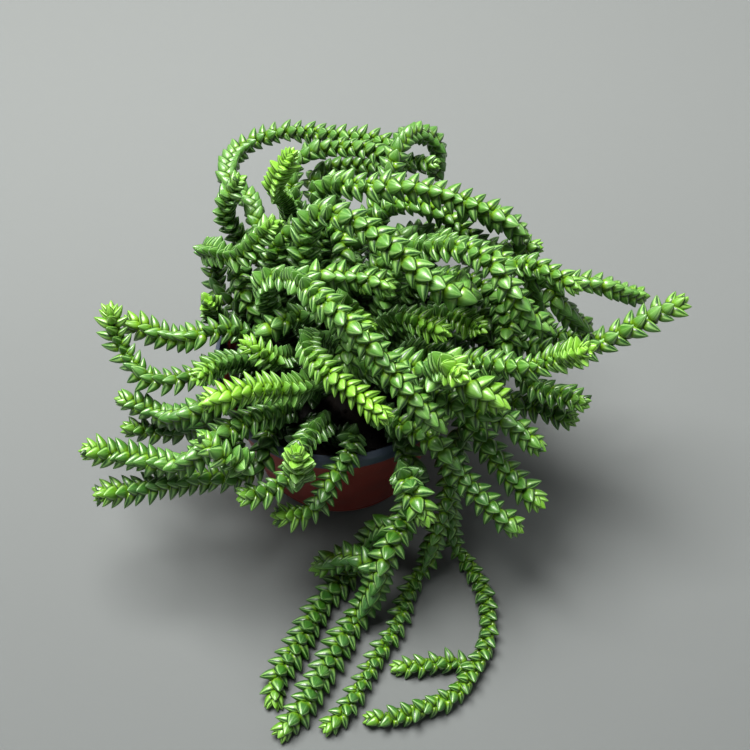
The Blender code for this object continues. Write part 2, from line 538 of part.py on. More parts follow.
def grow(bm, face, line, first_side, full, is_shoot, turn):
    """Extrude a face ring by ring along a line. Return the segments, each with its four side faces."""
    travel = np.concatenate([[0.0], np.cumsum(np.linalg.norm(np.diff(line, axis=0), axis=1))])
    length = travel[-1]
    stops = ring_stops(length, full, is_shoot)
    rings = np.column_stack([np.interp(stops, travel, line[:, axis]) for axis in range(3)])
    frames = frames_along(rings, first_side)
    _, across, other = frames[0]
    centre = face.calc_center_median()
    signs = [(math.copysign(1.0, (vert.co - centre).dot(across)),
              math.copysign(1.0, (vert.co - centre).dot(other))) for vert in face.verts]
    segments = []
    for index in range(1, len(rings)):
        tangent, across, other = frames[index]
        reach = reach_at(stops[index], length, full, is_shoot)
        half = CORE_SHARE * math.sqrt(full * reach)
        roll = 0.0 if is_shoot else turn * smooth_step(stops[index] / RISE)
        spin = Matrix.Rotation(roll, 3, tangent)
        middle = Vector(rings[index])
        face = bmesh.ops.extrude_discrete_faces(bm, faces=[face])["faces"][0]
        for vert, (a, b) in zip(face.verts, signs):
            vert.co = middle + half * (spin @ (a * across + b * other))
        sides = [next(side for side in loop.edge.link_faces if side is not face) for loop in face.loops]
        segments.append({"sides": sides, "middle": 0.5 * (Vector(rings[index - 1]) + middle),
                         "tangent": tangent, "left": float(length - stops[index]),
                         "reach": reach_at(0.5 * (stops[index - 1] + stops[index]), length, full,
                                           is_shoot)})
    bud = bmesh.ops.poke(bm, faces=[face])["verts"][0]
    bud.co += frames[-1][0] * TIP_PITCH
    return segments


def raise_leaves(bm, segments, keep_off):
    """Poke opposite sides of each segment, a quarter turn on each time, and draw them out to leaves.

    keep_off is pairs of points and the room around each. A leaf whose point would come into that room is
    shorter, or left out.
    """
    points = np.vstack([line for line, _ in keep_off])
    room = np.concatenate([np.broadcast_to(width, len(line)) for line, width in keep_off])
    for index, segment in enumerate(segments):
        for face in segment["sides"][index % 2::2]:
            if not face.is_valid:
                continue
            tangent = segment["tangent"]
            outward = face.calc_center_median() - segment["middle"]
            outward = (outward - outward.dot(tangent) * tangent).normalized()
            closing = 1.0 - smooth_step(segment["left"] / BUD)
            lean = LEAF_LEAN * segment["reach"] / USUAL_REACH + closing
            for share in LEAF_SHARES:
                tip = segment["middle"] + share * (segment["reach"] * outward + lean * tangent)
                clear = (np.linalg.norm(points - np.array(tip), axis=1) > room).all()
                if clear and tip.z > 2.0 * FLOOR_GAP:
                    bmesh.ops.poke(bm, faces=[face])["verts"][0].co = tip
                    break


def eased(line):
    """The line with its small wobbles smoothed out, its first two points and its last kept."""
    line = line.copy()
    for _ in range(2):
        line[2:-1] = 0.25 * line[1:-2] + 0.5 * line[2:-1] + 0.25 * line[3:]
    return smooth_route(line, 0.5 * STEP)


def start_shoot(bm, segments, shoot):
    """Grow a side shoot out of the side of the stem that faces it, in place of the leaf there."""
    line = shoot["points"]
    fork = Vector(line[0])
    heading = Vector(line[min(3, len(line) - 1)]) - fork
    whole = [item for item in segments[2:-2] if all(side.is_valid for side in item["sides"])]
    segment = min(whole, key=lambda item: (item["middle"] - fork).length)
    middle = segment["middle"]
    face = max(segment["sides"], key=lambda side: (side.calc_center_median() - middle).dot(heading))
    centre = face.calc_center_median()
    normal = (centre - middle).normalized()
    beyond = [point for point in line if (Vector(point) - centre).dot(normal) > SHOOT_SIDE][1:]
    if len(beyond) < 2:
        beyond = line[-2:]
    route = np.vstack([[centre, centre + SHOOT_START * normal], beyond])
    grown = grow(bm, face, eased(route), segment["tangent"], shoot["reach"], True, 0.0)
    return grown, route


def build_stem(strand, shoots, others, group, material, turn):
    """One leafy stem with its side shoots, as one closed body that stands in its hole in the soil."""
    crowd = [(other["points"], LEAF_ROOM * other["room"]) for other in others]
    line = strand["points"]
    bottom = SOIL_TOP - HOLE_DEPTH + FIT_GAP
    height = line[0][2] - bottom
    bm = bmesh.new()
    place = Matrix.Translation((line[0][0], line[0][1], bottom + 0.5 * height)) @ Matrix.Diagonal(
        (2.0 * FOOT_HALF, 2.0 * FOOT_HALF, height, 1.0))
    bmesh.ops.create_cube(bm, size=1.0, matrix=place)
    bm.faces.ensure_lookup_table()
    top = max(bm.faces, key=lambda face: face.calc_center_median().z)
    stem = grow(bm, top, eased(line), (1.0, 0.0, 0.0), strand["reach"], False, turn)
    grown = [start_shoot(bm, stem, shoot) for shoot in shoots]
    forks = [(route, SHOOT_REACH_SHARE * shoot["reach"]) for shoot, (_, route) in zip(shoots, grown)]
    raise_leaves(bm, stem[1:], crowd + forks)
    for segments, _ in grown:
        raise_leaves(bm, segments[1:], crowd + [(line, strand["reach"])])
    object_from(bm, strand["name"], group, material)


def main():
    clear_scene()
    parts = new_collection("potted crassula")
    cutters = new_collection("cutters")
    strands = settle(lay_out())
    stems = [strand for strand in strands if strand["stem"] is None]
    build_pot(parts, cutters)
    build_soil(parts, cutters, [strand["points"][0][:2] for strand in stems])
    leaf = new_material("succulent leaf", LEAF_COLOUR, 0.4)
    draw = random.Random(SEED)
    for index, strand in enumerate(stems):
        shoots = [shoot for shoot in strands if shoot["stem"] == index]
        others = [other for other in strands if other is not strand and other["stem"] != index]
        build_stem(strand, shoots, others, parts, leaf, draw.uniform(-TURN_SPREAD, TURN_SPREAD) * math.pi)


main()
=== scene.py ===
# %% [markdown]
# # Dressing a potted crassula
# The plant is a heap of string-like stems, clad from end to end in pairs of thick pointed leaves, in a small
# nursery pot. The imported CAD model gives the pot, the soil and one plain leafy solid for each stem. This
# lesson builds the fine version around them, in the same place: one modelled leaf, copied in pairs along
# every stem, a moulded pot with a red-brown body and a slate blue-grey collar, and crumbly soil.
# Blender's unit is the metre. Sizes on the plant are written in millimetres and multiplied by MM. The camera
# and the lamps, which stand further off, are placed in metres.

# %% Load the imported model
import json
import math
import random
import time
from collections import namedtuple

import bmesh
import bpy
import numpy as np
from mathutils import Matrix, Vector

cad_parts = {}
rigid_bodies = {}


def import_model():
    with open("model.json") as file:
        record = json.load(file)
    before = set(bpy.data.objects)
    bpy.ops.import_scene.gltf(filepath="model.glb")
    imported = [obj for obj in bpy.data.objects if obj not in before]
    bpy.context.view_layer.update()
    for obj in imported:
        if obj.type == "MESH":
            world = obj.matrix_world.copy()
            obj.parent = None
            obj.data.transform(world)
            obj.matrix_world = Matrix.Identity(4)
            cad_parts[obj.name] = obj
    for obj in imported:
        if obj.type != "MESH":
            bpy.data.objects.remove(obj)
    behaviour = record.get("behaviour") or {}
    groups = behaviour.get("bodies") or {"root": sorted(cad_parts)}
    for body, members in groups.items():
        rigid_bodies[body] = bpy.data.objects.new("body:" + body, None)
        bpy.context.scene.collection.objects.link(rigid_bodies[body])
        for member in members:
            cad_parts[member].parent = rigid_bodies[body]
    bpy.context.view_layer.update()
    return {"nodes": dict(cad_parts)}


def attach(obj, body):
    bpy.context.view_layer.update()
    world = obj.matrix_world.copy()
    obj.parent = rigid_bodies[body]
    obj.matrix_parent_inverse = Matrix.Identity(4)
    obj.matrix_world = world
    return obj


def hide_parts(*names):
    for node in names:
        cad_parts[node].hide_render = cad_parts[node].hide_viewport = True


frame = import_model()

MM = 0.001
clock = time.time()


def in_mm(values):
    return [round(value / MM, 1) for value in values]


print("nodes in the frame:", len(frame["nodes"]))

# %% [markdown]
# ## Camera
# The photograph looks down on the plant at a steep angle from the front. A camera 0.45 m from the middle of
# the rim that looks 55 degrees below the horizon, with a lens of about 59 mm, gives nearly the same view.

# %% Place the camera
CAMERA_PLACE = (0.0138, -0.2643, 0.4242)
CAMERA_TURN = (math.radians(35.0), 0.0, 0.0)
LENS = 59.33
RIM_MIDDLE = (0.0, 0.0, 0.06)

bpy.ops.object.camera_add(location=CAMERA_PLACE, rotation=CAMERA_TURN)
camera = bpy.context.object
camera.name = "photo_camera"
camera.data.lens = LENS
bpy.context.scene.camera = camera
rim_distance = (Vector(CAMERA_PLACE) - Vector(RIM_MIDDLE)).length
print("camera to the middle of the rim in mm:", round(rim_distance / MM))

# %% [markdown]
# ## Working with operators
# Edit-mode operators act on whatever is selected, and loading leaves the CAD nodes selected. So each piece
# starts from an empty selection, and a few helpers pick vertices by their place.

# %% Helpers for selecting and editing
MERGE_GAP = 0.001 * MM


def select_nothing():
    if bpy.context.object and bpy.context.object.mode != "OBJECT":
        bpy.ops.object.mode_set(mode="OBJECT")
    bpy.ops.object.select_all(action="DESELECT")


def select_only(item):
    select_nothing()
    item.select_set(True)
    bpy.context.view_layer.objects.active = item


def pick(item, test):
    """Select in edit mode only the vertices whose place passes the test."""
    bpy.ops.object.mode_set(mode="EDIT")
    bpy.ops.mesh.select_mode(type="VERT")
    bpy.ops.mesh.select_all(action="DESELECT")
    shape = bmesh.from_edit_mesh(item.data)
    for vert in shape.verts:
        vert.select = test(vert.co)
    shape.select_flush_mode()
    bmesh.update_edit_mesh(item.data)


def extrude_to(start, end):
    """Extrude the selected round face from one (radius, height) to the next, both in mm."""
    bpy.ops.mesh.extrude_region_move(TRANSFORM_OT_translate={"value": (0.0, 0.0, (end[1] - start[1]) * MM)})
    share = end[0] / start[0]
    bpy.ops.transform.resize(value=(share, share, 1.0), center_override=(0.0, 0.0, end[1] * MM))


def apply_all(item):
    select_only(item)
    for modifier in list(item.modifiers):
        bpy.ops.object.modifier_apply(modifier=modifier.name)


def face_outwards(item):
    select_only(item)
    bpy.ops.object.mode_set(mode="EDIT")
    bpy.ops.mesh.select_all(action="SELECT")
    bpy.ops.mesh.remove_doubles(threshold=MERGE_GAP)
    bpy.ops.mesh.normals_make_consistent(inside=False)
    bpy.ops.object.mode_set(mode="OBJECT")


def smooth_below(item, degrees):
    """Shade smoothly over every edge that turns by less than this angle."""
    select_only(item)
    bpy.ops.object.shade_smooth_by_angle(angle=math.radians(degrees))


def size_of(item):
    return f"{item.name}: {len(item.data.polygons)} faces, {in_mm(item.dimensions)} mm"


# %% [markdown]
# ## The pot
# A nursery pot is moulded in one thin wall: a flat base, a tapered body and a turned-out collar. It could be
# a spun profile with a Solidify modifier. Here one round face is extruded up the outside, over the lip and
# down the inside, which is how the wall really runs, and gives the lip its own sloping top.

# %% Extrude the pot's wall
POT_SIDES = 96
# radius and height, in mm: up the outside over the foot, the body and the collar, then down the inside
OUTSIDE = [(31.7, 0.0), (32.5, 0.8), (33.2, 2.5), (33.0, 2.9), (33.2, 3.4), (38.0, 28.0), (42.7, 52.4),
           (42.8, 53.0), (44.4, 53.0), (44.65, 53.3), (45.0, 57.9), (44.8, 58.4), (43.6, 59.9), (43.3, 60.0)]
INSIDE = [(43.0, 59.8), (42.9, 58.5), (43.1, 54.0), (42.4, 53.2), (41.3, 52.4), (31.4, 2.3), (30.9, 1.8)]

select_nothing()
bpy.ops.mesh.primitive_circle_add(vertices=POT_SIDES, radius=OUTSIDE[0][0] * MM, fill_type="NGON")
pot = bpy.context.object
pot.name = "nursery_pot"
bpy.ops.object.mode_set(mode="EDIT")
bpy.ops.mesh.select_all(action="SELECT")
wall = OUTSIDE + INSIDE
for start, end in zip(wall, wall[1:]):
    extrude_to(start, end)
bpy.ops.object.mode_set(mode="OBJECT")
face_outwards(pot)
print(size_of(pot))

# %% [markdown]
# The base has six round drain holes. A Boolean modifier cuts one set of cylinders out of the floor, and a
# small Bevel takes the sharpness off every corner, as a mould does.

# %% Cut the drain holes and round the corners
DRAIN_COUNT = 6
DRAIN_SIDES = 24
DRAIN_RADIUS = 3.5
DRAIN_CIRCLE = 19.0
CUTTER_LENGTH = 8.0
CORNER_ROUND = 0.18
CORNER_ANGLE = 28.0
POT_SMOOTH = 32.0

select_nothing()
for turn in range(DRAIN_COUNT):
    angle = math.tau * (turn + 0.5) / DRAIN_COUNT
    place = (DRAIN_CIRCLE * math.cos(angle) * MM, DRAIN_CIRCLE * math.sin(angle) * MM, 0.0)
    bpy.ops.mesh.primitive_cylinder_add(vertices=DRAIN_SIDES, radius=DRAIN_RADIUS * MM,
                                        depth=CUTTER_LENGTH * MM, location=place)
    bpy.context.object.name = f"drain_cutter_{turn}"
cutters = [bpy.data.objects[f"drain_cutter_{turn}"] for turn in range(DRAIN_COUNT)]
select_nothing()
for cutter in cutters:
    cutter.select_set(True)
bpy.context.view_layer.objects.active = cutters[0]
bpy.ops.object.join()
cutter = bpy.context.object
holes = pot.modifiers.new("drain holes", "BOOLEAN")
holes.operation = "DIFFERENCE"
holes.object = cutter
corners = pot.modifiers.new("moulded corners", "BEVEL")
corners.width = CORNER_ROUND * MM
corners.segments = 2
corners.limit_method = "ANGLE"
corners.angle_limit = math.radians(CORNER_ANGLE)
apply_all(pot)
bpy.data.objects.remove(cutter, do_unlink=True)
smooth_below(pot, POT_SMOOTH)
print(size_of(pot))

# %% [markdown]
# ## The soil
# Potting soil is dark peat with crumbs and bits of bark. Its top is a disc of rings, roughened by two
# Displace modifiers, and a few hundred small crumbs lie on it.

# %% Make the soil's body
SOIL_FOOT = (30.6, 2.1)
SOIL_TOP = 50.0
SOIL_DOME = 1.2
SOIL_EDGE = 40.1
SOIL_RINGS = 26
SMOOTH_EDGE = 0.5
# the kind of each noise, the size of its grains and the height that it adds, in mm
SOIL_GRAINS = (("CLOUDS", 5.0, 1.6), ("VORONOI", 2.2, 1.3))

select_nothing()
bpy.ops.mesh.primitive_circle_add(vertices=POT_SIDES, radius=SOIL_FOOT[0] * MM, fill_type="NGON",
                                  location=(0, 0, SOIL_FOOT[1] * MM))
soil = bpy.context.object
soil.name = "potting_soil"
bpy.ops.object.transform_apply(location=True, rotation=False, scale=False)
bpy.ops.object.mode_set(mode="EDIT")
bpy.ops.mesh.select_all(action="SELECT")
rings = [SOIL_FOOT, (SOIL_EDGE, SOIL_TOP)]
for ring in range(1, SOIL_RINGS):
    share = 1.0 - ring / SOIL_RINGS
    rings.append((SOIL_EDGE * share, SOIL_TOP + SOIL_DOME * math.cos(0.5 * math.pi * share)))
for start, end in zip(rings, rings[1:]):
    extrude_to(start, end)
bpy.ops.mesh.poke()
bpy.ops.object.mode_set(mode="OBJECT")
face_outwards(soil)
top = soil.vertex_groups.new(name="top")
top.add([vert.index for vert in soil.data.vertices
         if vert.co.z > (SOIL_TOP - 0.1) * MM and vert.co.xy.length < (SOIL_EDGE - SMOOTH_EDGE) * MM],
        1.0, "REPLACE")
for kind, size, strength in SOIL_GRAINS:
    grain = bpy.data.textures.new("soil " + kind.lower(), kind)
    grain.noise_scale = size * MM
    rough = soil.modifiers.new("rough " + kind.lower(), "DISPLACE")
    rough.texture = grain
    rough.texture_coords = "LOCAL"
    rough.direction = "Z"
    rough.strength = strength * MM
    rough.vertex_group = "top"
apply_all(soil)
print(size_of(soil))

# %% Scatter the crumbs
CRUMBS = 420
CRUMB_FIELD = 38.5
CRUMB_LIFT = (0.4, 1.8)
CRUMB_SIZES = (0.5, 0.7, 0.9, 1.3)
CRUMB_LONG = (0.8, 1.9)
CRUMB_FLAT = (0.4, 0.9)
SOIL_SMOOTH = 40.0
CRUMB_SEED = 5

chance = random.Random(CRUMB_SEED)
select_nothing()
bpy.ops.mesh.primitive_ico_sphere_add(subdivisions=1, radius=1.0 * MM)
crumb = bpy.context.object
crumb.name = "soil_crumb"
crumbs = []
for index in range(CRUMBS):
    radius = CRUMB_FIELD * math.sqrt(chance.random())
    angle = math.tau * chance.random()
    height = SOIL_TOP + chance.uniform(*CRUMB_LIFT)
    place = Vector((radius * math.cos(angle), radius * math.sin(angle), height)) * MM
    spin = chance.uniform(0, math.tau)
    axis = Vector((chance.random(), chance.random(), 1.0)).normalized()
    size = chance.choice(CRUMB_SIZES)
    long, flat = chance.uniform(*CRUMB_LONG), chance.uniform(*CRUMB_FLAT)
    scale = Matrix.Diagonal((size * long, size, size * flat, 1.0))
    copy = bpy.data.objects.new(f"crumb_{index}", crumb.data.copy())
    copy.data.transform(Matrix.Translation(place) @ Matrix.Rotation(spin, 4, axis) @ scale)
    bpy.context.scene.collection.objects.link(copy)
    crumbs.append(copy)
bpy.data.objects.remove(crumb, do_unlink=True)
select_only(soil)
for copy in crumbs:
    copy.select_set(True)
bpy.ops.object.join()
smooth_below(soil, SOIL_SMOOTH)
print(size_of(soil))

# %% [markdown]
# ## Reading the stems' middle lines
# Each stem's CAD solid is a square rod of rings, with a poked point for each leaf. Walking from ring to
# ring, from the four vertices of its foot, gives back its middle line, and what is left over are the leaf
# points and the side shoots. So the fine stem follows the middle of the solid.

# %% Helpers to walk along the rings of a stem
RING_SIZE = 4
FOOT_Z = 45.3 * MM
FOOT_WIDTH = 3.4 * MM
LEVEL_GAP = 0.01 * MM


def linked_points(mesh):
    """The mesh's merged points, and each point's neighbours."""
    shape = bmesh.new()
    shape.from_mesh(mesh)
    bmesh.ops.remove_doubles(shape, verts=shape.verts, dist=MERGE_GAP)
    points = np.array([vert.co[:] for vert in shape.verts])
    near = [[edge.other_vert(vert).index for edge in vert.link_edges] for vert in shape.verts]
    shape.free()
    return points, near


def foot_of(points):
    """The four vertices of the stem's foot: level, and all close to each other."""
    low = [index for index, point in enumerate(points) if abs(point[2] - FOOT_Z) < LEVEL_GAP]
    return [index for index in low
            if sum(np.linalg.norm(points[index] - points[other]) < FOOT_WIDTH for other in low) == RING_SIZE]


def walk_rings(points, near, first, used):
    """The rings of four that follow on from the first."""
    rings = [list(first)]
    used.update(first)
    while True:
        ahead = {other for vert in rings[-1] for other in near[vert]} - used
        known = used | ahead
        onward = [vert for vert in ahead if any(other not in known for other in near[vert])]
        if len(onward) < RING_SIZE:
            return rings
        middles = [points[ring].mean(axis=0) for ring in rings[-2:]]
        guess = middles[-1] if len(middles) < 2 else 2.0 * middles[-1] - middles[-2]
        rings.append(sorted(onward, key=lambda vert: np.linalg.norm(points[vert] - guess))[:RING_SIZE])
        used.update(rings[-1])


def groups_of(left, near):
    """Split the vertices that are left into linked groups."""
    left, groups = set(left), []
    while left:
        group = [left.pop()]
        for vert in group:
            fresh = [other for other in near[vert] if other in left]
            left.difference_update(fresh)
            group += fresh
        groups.append(group)
    return groups


def bud_of(near, ring, used):
    """The point past the last ring, which closes the stem's end."""
    ahead = {other for vert in ring for other in near[vert]} - used
    return max(ahead, key=lambda vert: len(set(near[vert]) & set(ring)))


# %% Read every stem and side shoot
def strands_of(node):
    """The middle lines of one node, its stem's first and then its side shoots', and its leaf points."""
    points, near = linked_points(node.data)
    used = set()
    found = []
    starts = [(foot_of(points), None)]
    while starts:
        first, base = starts.pop(0)
        rings = walk_rings(points, near, first, used)
        bud = bud_of(near, rings[-1], used)
        used.add(bud)
        line = [points[ring].mean(axis=0) for ring in rings] + [points[bud]]
        if base is not None:
            line.insert(0, base)
        found.append(np.array(line))
        if base is None:
            for group in groups_of(set(range(len(points))) - used, near):
                if len(group) > RING_SIZE:
                    ring = [vert for vert in group if any(other in used for other in near[vert])]
                    roots = sorted({other for vert in ring for other in near[vert] if other in used})
                    starts.append((ring, points[roots].mean(axis=0)))
    tips = points[sorted(set(range(len(points))) - used)]
    return found, tips


strands = []
for name, node in frame["nodes"].items():
    if name in ("pot", "soil"):
        continue
    lines, tips = strands_of(node)
    for number, line in enumerate(lines):
        strands.append({"stem": name, "number": number, "line": line, "tips": tips})
lengths = [np.linalg.norm(np.diff(strand["line"], axis=0), axis=1).sum() for strand in strands]
print("stems and shoots:", len(strands), "with", round(sum(lengths), 2), "m of stem,",
      round(time.time() - clock, 1), "s")

# %% [markdown]
# The CAD line has a corner at each ring. A curve through the same points, cut at an even step, is smooth
# enough to bear leaves. Two sides are carried along it without twisting, so that "round the stem" means the
# same thing from end to end.

# %% Smooth the lines and carry their sides along
FINE_STEP = 0.5 * MM
CURVE_PARTS = 10


def smooth_line(points):
    """A Catmull-Rom curve through the points, at an even step."""
    ends = np.vstack([2 * points[0] - points[1], points, 2 * points[-1] - points[-2]])
    shares = np.linspace(0.0, 1.0, CURVE_PARTS, endpoint=False)[:, None]
    curve = []
    for before, start, end, after in zip(ends, ends[1:], ends[2:], ends[3:]):
        curve.append(0.5 * (2 * start + (end - before) * shares
                            + (2 * before - 5 * start + 4 * end - after) * shares ** 2
                            + (3 * start - before - 3 * end + after) * shares ** 3))
    curve = np.vstack(curve + [points[-1:]])
    travel = np.concatenate([[0.0], np.cumsum(np.linalg.norm(np.diff(curve, axis=0), axis=1))])
    stops = np.linspace(0.0, travel[-1], max(3, int(travel[-1] / FINE_STEP)))
    return np.column_stack([np.interp(stops, travel, curve[:, axis]) for axis in range(3)]), stops


def carried_frames(line):
    """Tangent and two sides at each point of a line, carried along without twisting."""
    tangents = np.gradient(line, axis=0)
    tangents /= np.linalg.norm(tangents, axis=1, keepdims=True)
    side = np.array((1.0, 0.0, 0.0)) if abs(tangents[0][0]) < 0.8 else np.array((0.0, 1.0, 0.0))
    sides = []
    for tangent in tangents:
        side = side - side.dot(tangent) * tangent
        side /= np.linalg.norm(side)
        sides.append(side)
    return tangents, np.array(sides), np.cross(tangents, sides)


for strand in strands:
    strand["fine"], strand["stops"] = smooth_line(strand["line"])
    strand["frames"] = carried_frames(strand["fine"])
print("fine points:", sum(len(strand["fine"]) for strand in strands))

# %% [markdown]
# The solid's leaf points tell how far the leaves of each stem may reach. Its leaves stand in four ranks, and
# which way those face is chosen here: in the photograph most stems show one rank face on, so the four are
# rolled together until one faces up and forward. The place of "up and forward" round the stem is a complex
# number. Its fourth power is the same for all four ranks, so the sum along the stem gives one roll for them.

# %% Measure the reach and roll the ranks
UP_AND_FORWARD = np.array((0.0, -0.57, 0.82))
REACH_CENTILE = 85
USUAL_REACH = 5.0 * MM
SMALLEST = 0.01

for strand in strands:
    fine, (_, sides, others) = strand["fine"], strand["frames"]
    mates = [other["fine"] for other in strands if other["stem"] == strand["stem"] and other is not strand]
    reaches = []
    for tip in strand["tips"]:
        away = np.linalg.norm(fine - tip, axis=1)
        if not any(np.linalg.norm(mate - tip, axis=1).min() < away.min() for mate in mates):
            reaches.append(float(away.min()))
    strand["reach"] = float(np.percentile(reaches, REACH_CENTILE)) if reaches else USUAL_REACH
    up = (sides @ UP_AND_FORWARD) + 1j * (others @ UP_AND_FORWARD)
    quarter = (up ** 4 / np.maximum(abs(up), SMALLEST) ** 2).sum()
    strand["roll"] = float(np.angle(quarter)) / 4.0
all_reaches = [strand["reach"] for strand in strands]
print("leaf reach from", round(min(all_reaches) / MM, 1), "to", round(max(all_reaches) / MM, 1), "mm")

# %% [markdown]
# ## One leaf
# A leaf is a thick little claw: widest near its root, rounded, a little flatter above than below, and drawn
# out to a point that curves up. It is modelled once, one unit long, from a ring of eight points that is
# extruded station by station.

# %% Shape the ring that the leaf grows from
LEAF_RING = 8
UPPER_SHARE = 0.74
UPPER_NARROW = 0.9
TOP_DIP = 0.06
MARGIN_LIFT = 0.08
NEAR = 0.1

select_nothing()
bpy.ops.mesh.primitive_circle_add(vertices=LEAF_RING, radius=1.0, fill_type="NGON",
                                  rotation=(math.radians(90.0), 0.0, 0.0))
leaf = bpy.context.object
leaf.name = "leaf"
bpy.ops.object.transform_apply(location=False, rotation=True, scale=False)
pick(leaf, lambda place: place.z > NEAR)
bpy.ops.transform.resize(value=(UPPER_NARROW, 1.0, UPPER_SHARE), center_override=(0.0, 0.0, 0.0))
pick(leaf, lambda place: place.z > NEAR and abs(place.x) < NEAR)
bpy.ops.transform.translate(value=(0.0, 0.0, -TOP_DIP))
pick(leaf, lambda place: abs(place.x) > 1.0 - NEAR)
bpy.ops.transform.translate(value=(0.0, 0.0, MARGIN_LIFT))

# %% Extrude it station by station and close the point
# each station: its share of the length, half width, half depth, and how far it has curved up
STATIONS = [(0.00, 0.370, 0.320, 0.0), (0.12, 0.440, 0.395, 0.0), (0.30, 0.440, 0.400, 0.004),
            (0.48, 0.385, 0.350, 0.018), (0.66, 0.290, 0.265, 0.040), (0.82, 0.175, 0.160, 0.065),
            (0.93, 0.080, 0.075, 0.085), (1.00, 0.008, 0.008, 0.105)]
LEAF_SMOOTH = 78.0

pick(leaf, lambda place: True)
bpy.ops.transform.resize(value=(STATIONS[0][1], 1.0, STATIONS[0][2]), center_override=(0.0, 0.0, 0.0))
for before, after in zip(STATIONS, STATIONS[1:]):
    step = (0.0, after[0] - before[0], after[3] - before[3])
    bpy.ops.mesh.extrude_region_move(TRANSFORM_OT_translate={"value": step})
    bpy.ops.transform.resize(value=(after[1] / before[1], 1.0, after[2] / before[2]),
                             center_override=(0.0, after[0], after[3]))
bpy.ops.mesh.merge(type="CENTER")
face_outwards(leaf)
smooth_below(leaf, LEAF_SMOOTH)
print(leaf.name, len(leaf.data.vertices), "points,", len(leaf.data.polygons), "faces, size",
      [round(value, 2) for value in leaf.dimensions])

# %% [markdown]
# Each leaf carries its own notes for the material, as attributes: across runs from 0 down its middle to 1 at
# its margins, along runs from 0 at the root to 1 at the point, youth is highest in the newest leaves, the
# share of painted shade is 1 at the foot of a main stem, down at the soil, and chance is a number of its own.

# %% Note where each point lies on the leaf
POINT_FROM = 0.95

places = [vert.co.copy() for vert in leaf.data.vertices]
across_note = leaf.data.attributes.new("across", "FLOAT", "POINT")
along_note = leaf.data.attributes.new("along", "FLOAT", "POINT")
widest = {}
for place in places:
    row = round(place.y, 2)
    widest[row] = max(widest.get(row, 0.0), abs(place.x))
for index, place in enumerate(places):
    at_point = place.y > POINT_FROM
    across_note.data[index].value = 1.0 if at_point else abs(place.x) / widest[round(place.y, 2)]
    along_note.data[index].value = place.y
print("rows of points along the leaf:", len(widest))

# %% [markdown]
# ## Growing the stems
# Leaves stand in opposite pairs, and each pair is turned a quarter turn from the last, so there are four
# ranks. Grown pairs are 1.5 to 2.7 mm apart and spread wide. In the last few millimetres they close up and
# end in a blunt rosette. The stems that can be told apart in the photograph have a habit of their own, and
# the others share one. A few habits were measured, and the others are judged.

# %% Choose how each stem grows
# fresh: how far from the tip the fresh colour runs, in mm
# pitch: the distance between grown pairs, in mm
# spread: how wide grown leaves stand from the stem, in degrees
# long: the length of a grown leaf, in mm
# wide: its width against the usual leaf's
Habit = namedtuple("Habit", "fresh pitch spread long wide")
USUAL = Habit(6.0, 2.15, 68.0, 5.7, 1.0)
BACK = Habit(5.0, 2.20, 68.0, 5.3, 1.05)
RIBBED = Habit(18.0, 1.50, 70.0, 5.8, 0.85)
HABITS = {
    "left_bright": Habit(42.0, 1.55, 68.0, 6.2, 0.88),
    "centre_bright": Habit(42.0, 1.65, 66.0, 5.6, 0.95),
    "top_bright": Habit(45.0, 1.55, 62.0, 5.0, 0.90),
    "left_ribbed": Habit(18.0, 1.45, 70.0, 5.2, 0.85),
    "rib_a": RIBBED, "rib_b": RIBBED, "rib_c": RIBBED,
    "front_upturned": Habit(16.0, 1.70, 64.0, 5.9, 1.0),
    "front_hooked": Habit(14.0, 1.65, 68.0, 5.8, 0.95),
    "left_stub": Habit(16.0, 1.70, 64.0, 5.4, 1.0),
    "left_blunt": Habit(12.0, 1.75, 66.0, 5.4, 1.0),
    "right_low_bright": Habit(22.0, 1.80, 64.0, 5.6, 1.0),
    "right_big": Habit(18.0, 2.15, 64.0, 7.0, 1.0),
    "front_right": Habit(8.0, 2.35, 70.0, 5.6, 1.08),
    "fork_long": Habit(8.0, 2.35, 70.0, 6.2, 1.0),
    "right_reach": Habit(8.0, 2.65, 62.0, 6.3, 0.90),
    "right_long": Habit(7.0, 2.10, 58.0, 4.9, 1.0),
    "left_upper": Habit(14.0, 2.20, 70.0, 6.1, 0.74),
    "left_upturned": Habit(14.0, 2.00, 70.0, 6.2, 0.76),
    "left_long": Habit(10.0, 1.90, 66.0, 6.2, 0.95),
    "left_longer_low": Habit(10.0, 1.90, 66.0, 6.2, 0.95),
    "left_loop": Habit(10.0, 2.00, 70.0, 5.8, 0.86),
    "trail_main": Habit(8.0, 2.30, 68.0, 6.4, 1.0),
    "trail_right": Habit(8.0, 2.40, 68.0, 4.9, 1.0),
    "trail_loop": Habit(8.0, 2.40, 68.0, 5.1, 1.0),
    "crest_large": Habit(5.0, 2.60, 60.0, 6.6, 1.0),
    "crest_high": Habit(5.0, 2.35, 66.0, 6.0, 1.0),
    "back_loop": BACK, "back_row_high": BACK, "back_row_low": BACK, "back_right_hook": BACK,
    "back_short": BACK,
}
# the newest leaf of a stem is at least this bright, and full bright if it stays fresh for 26 mm or more
DULLEST = 0.35
BRIGHT_SPAN = 40.0


def habit(strand):
    return HABITS.get(strand["stem"], USUAL)


def brightness_of(strand):
    return min(1.0, DULLEST + habit(strand).fresh / BRIGHT_SPAN)


print("stems with a habit of their own:", len(HABITS))

# %% Space the pairs of leaves
TIP_SPAN = 5.5 * MM
TIP_PITCH = 0.27
FIRST_PAIR = 0.4 * MM
BARE_FOOT = 0.5 * MM
BARE_FORK = 3.0 * MM


def smooth_step(value):
    value = np.clip(value, 0.0, 1.0)
    return value * value * (3.0 - 2.0 * value)


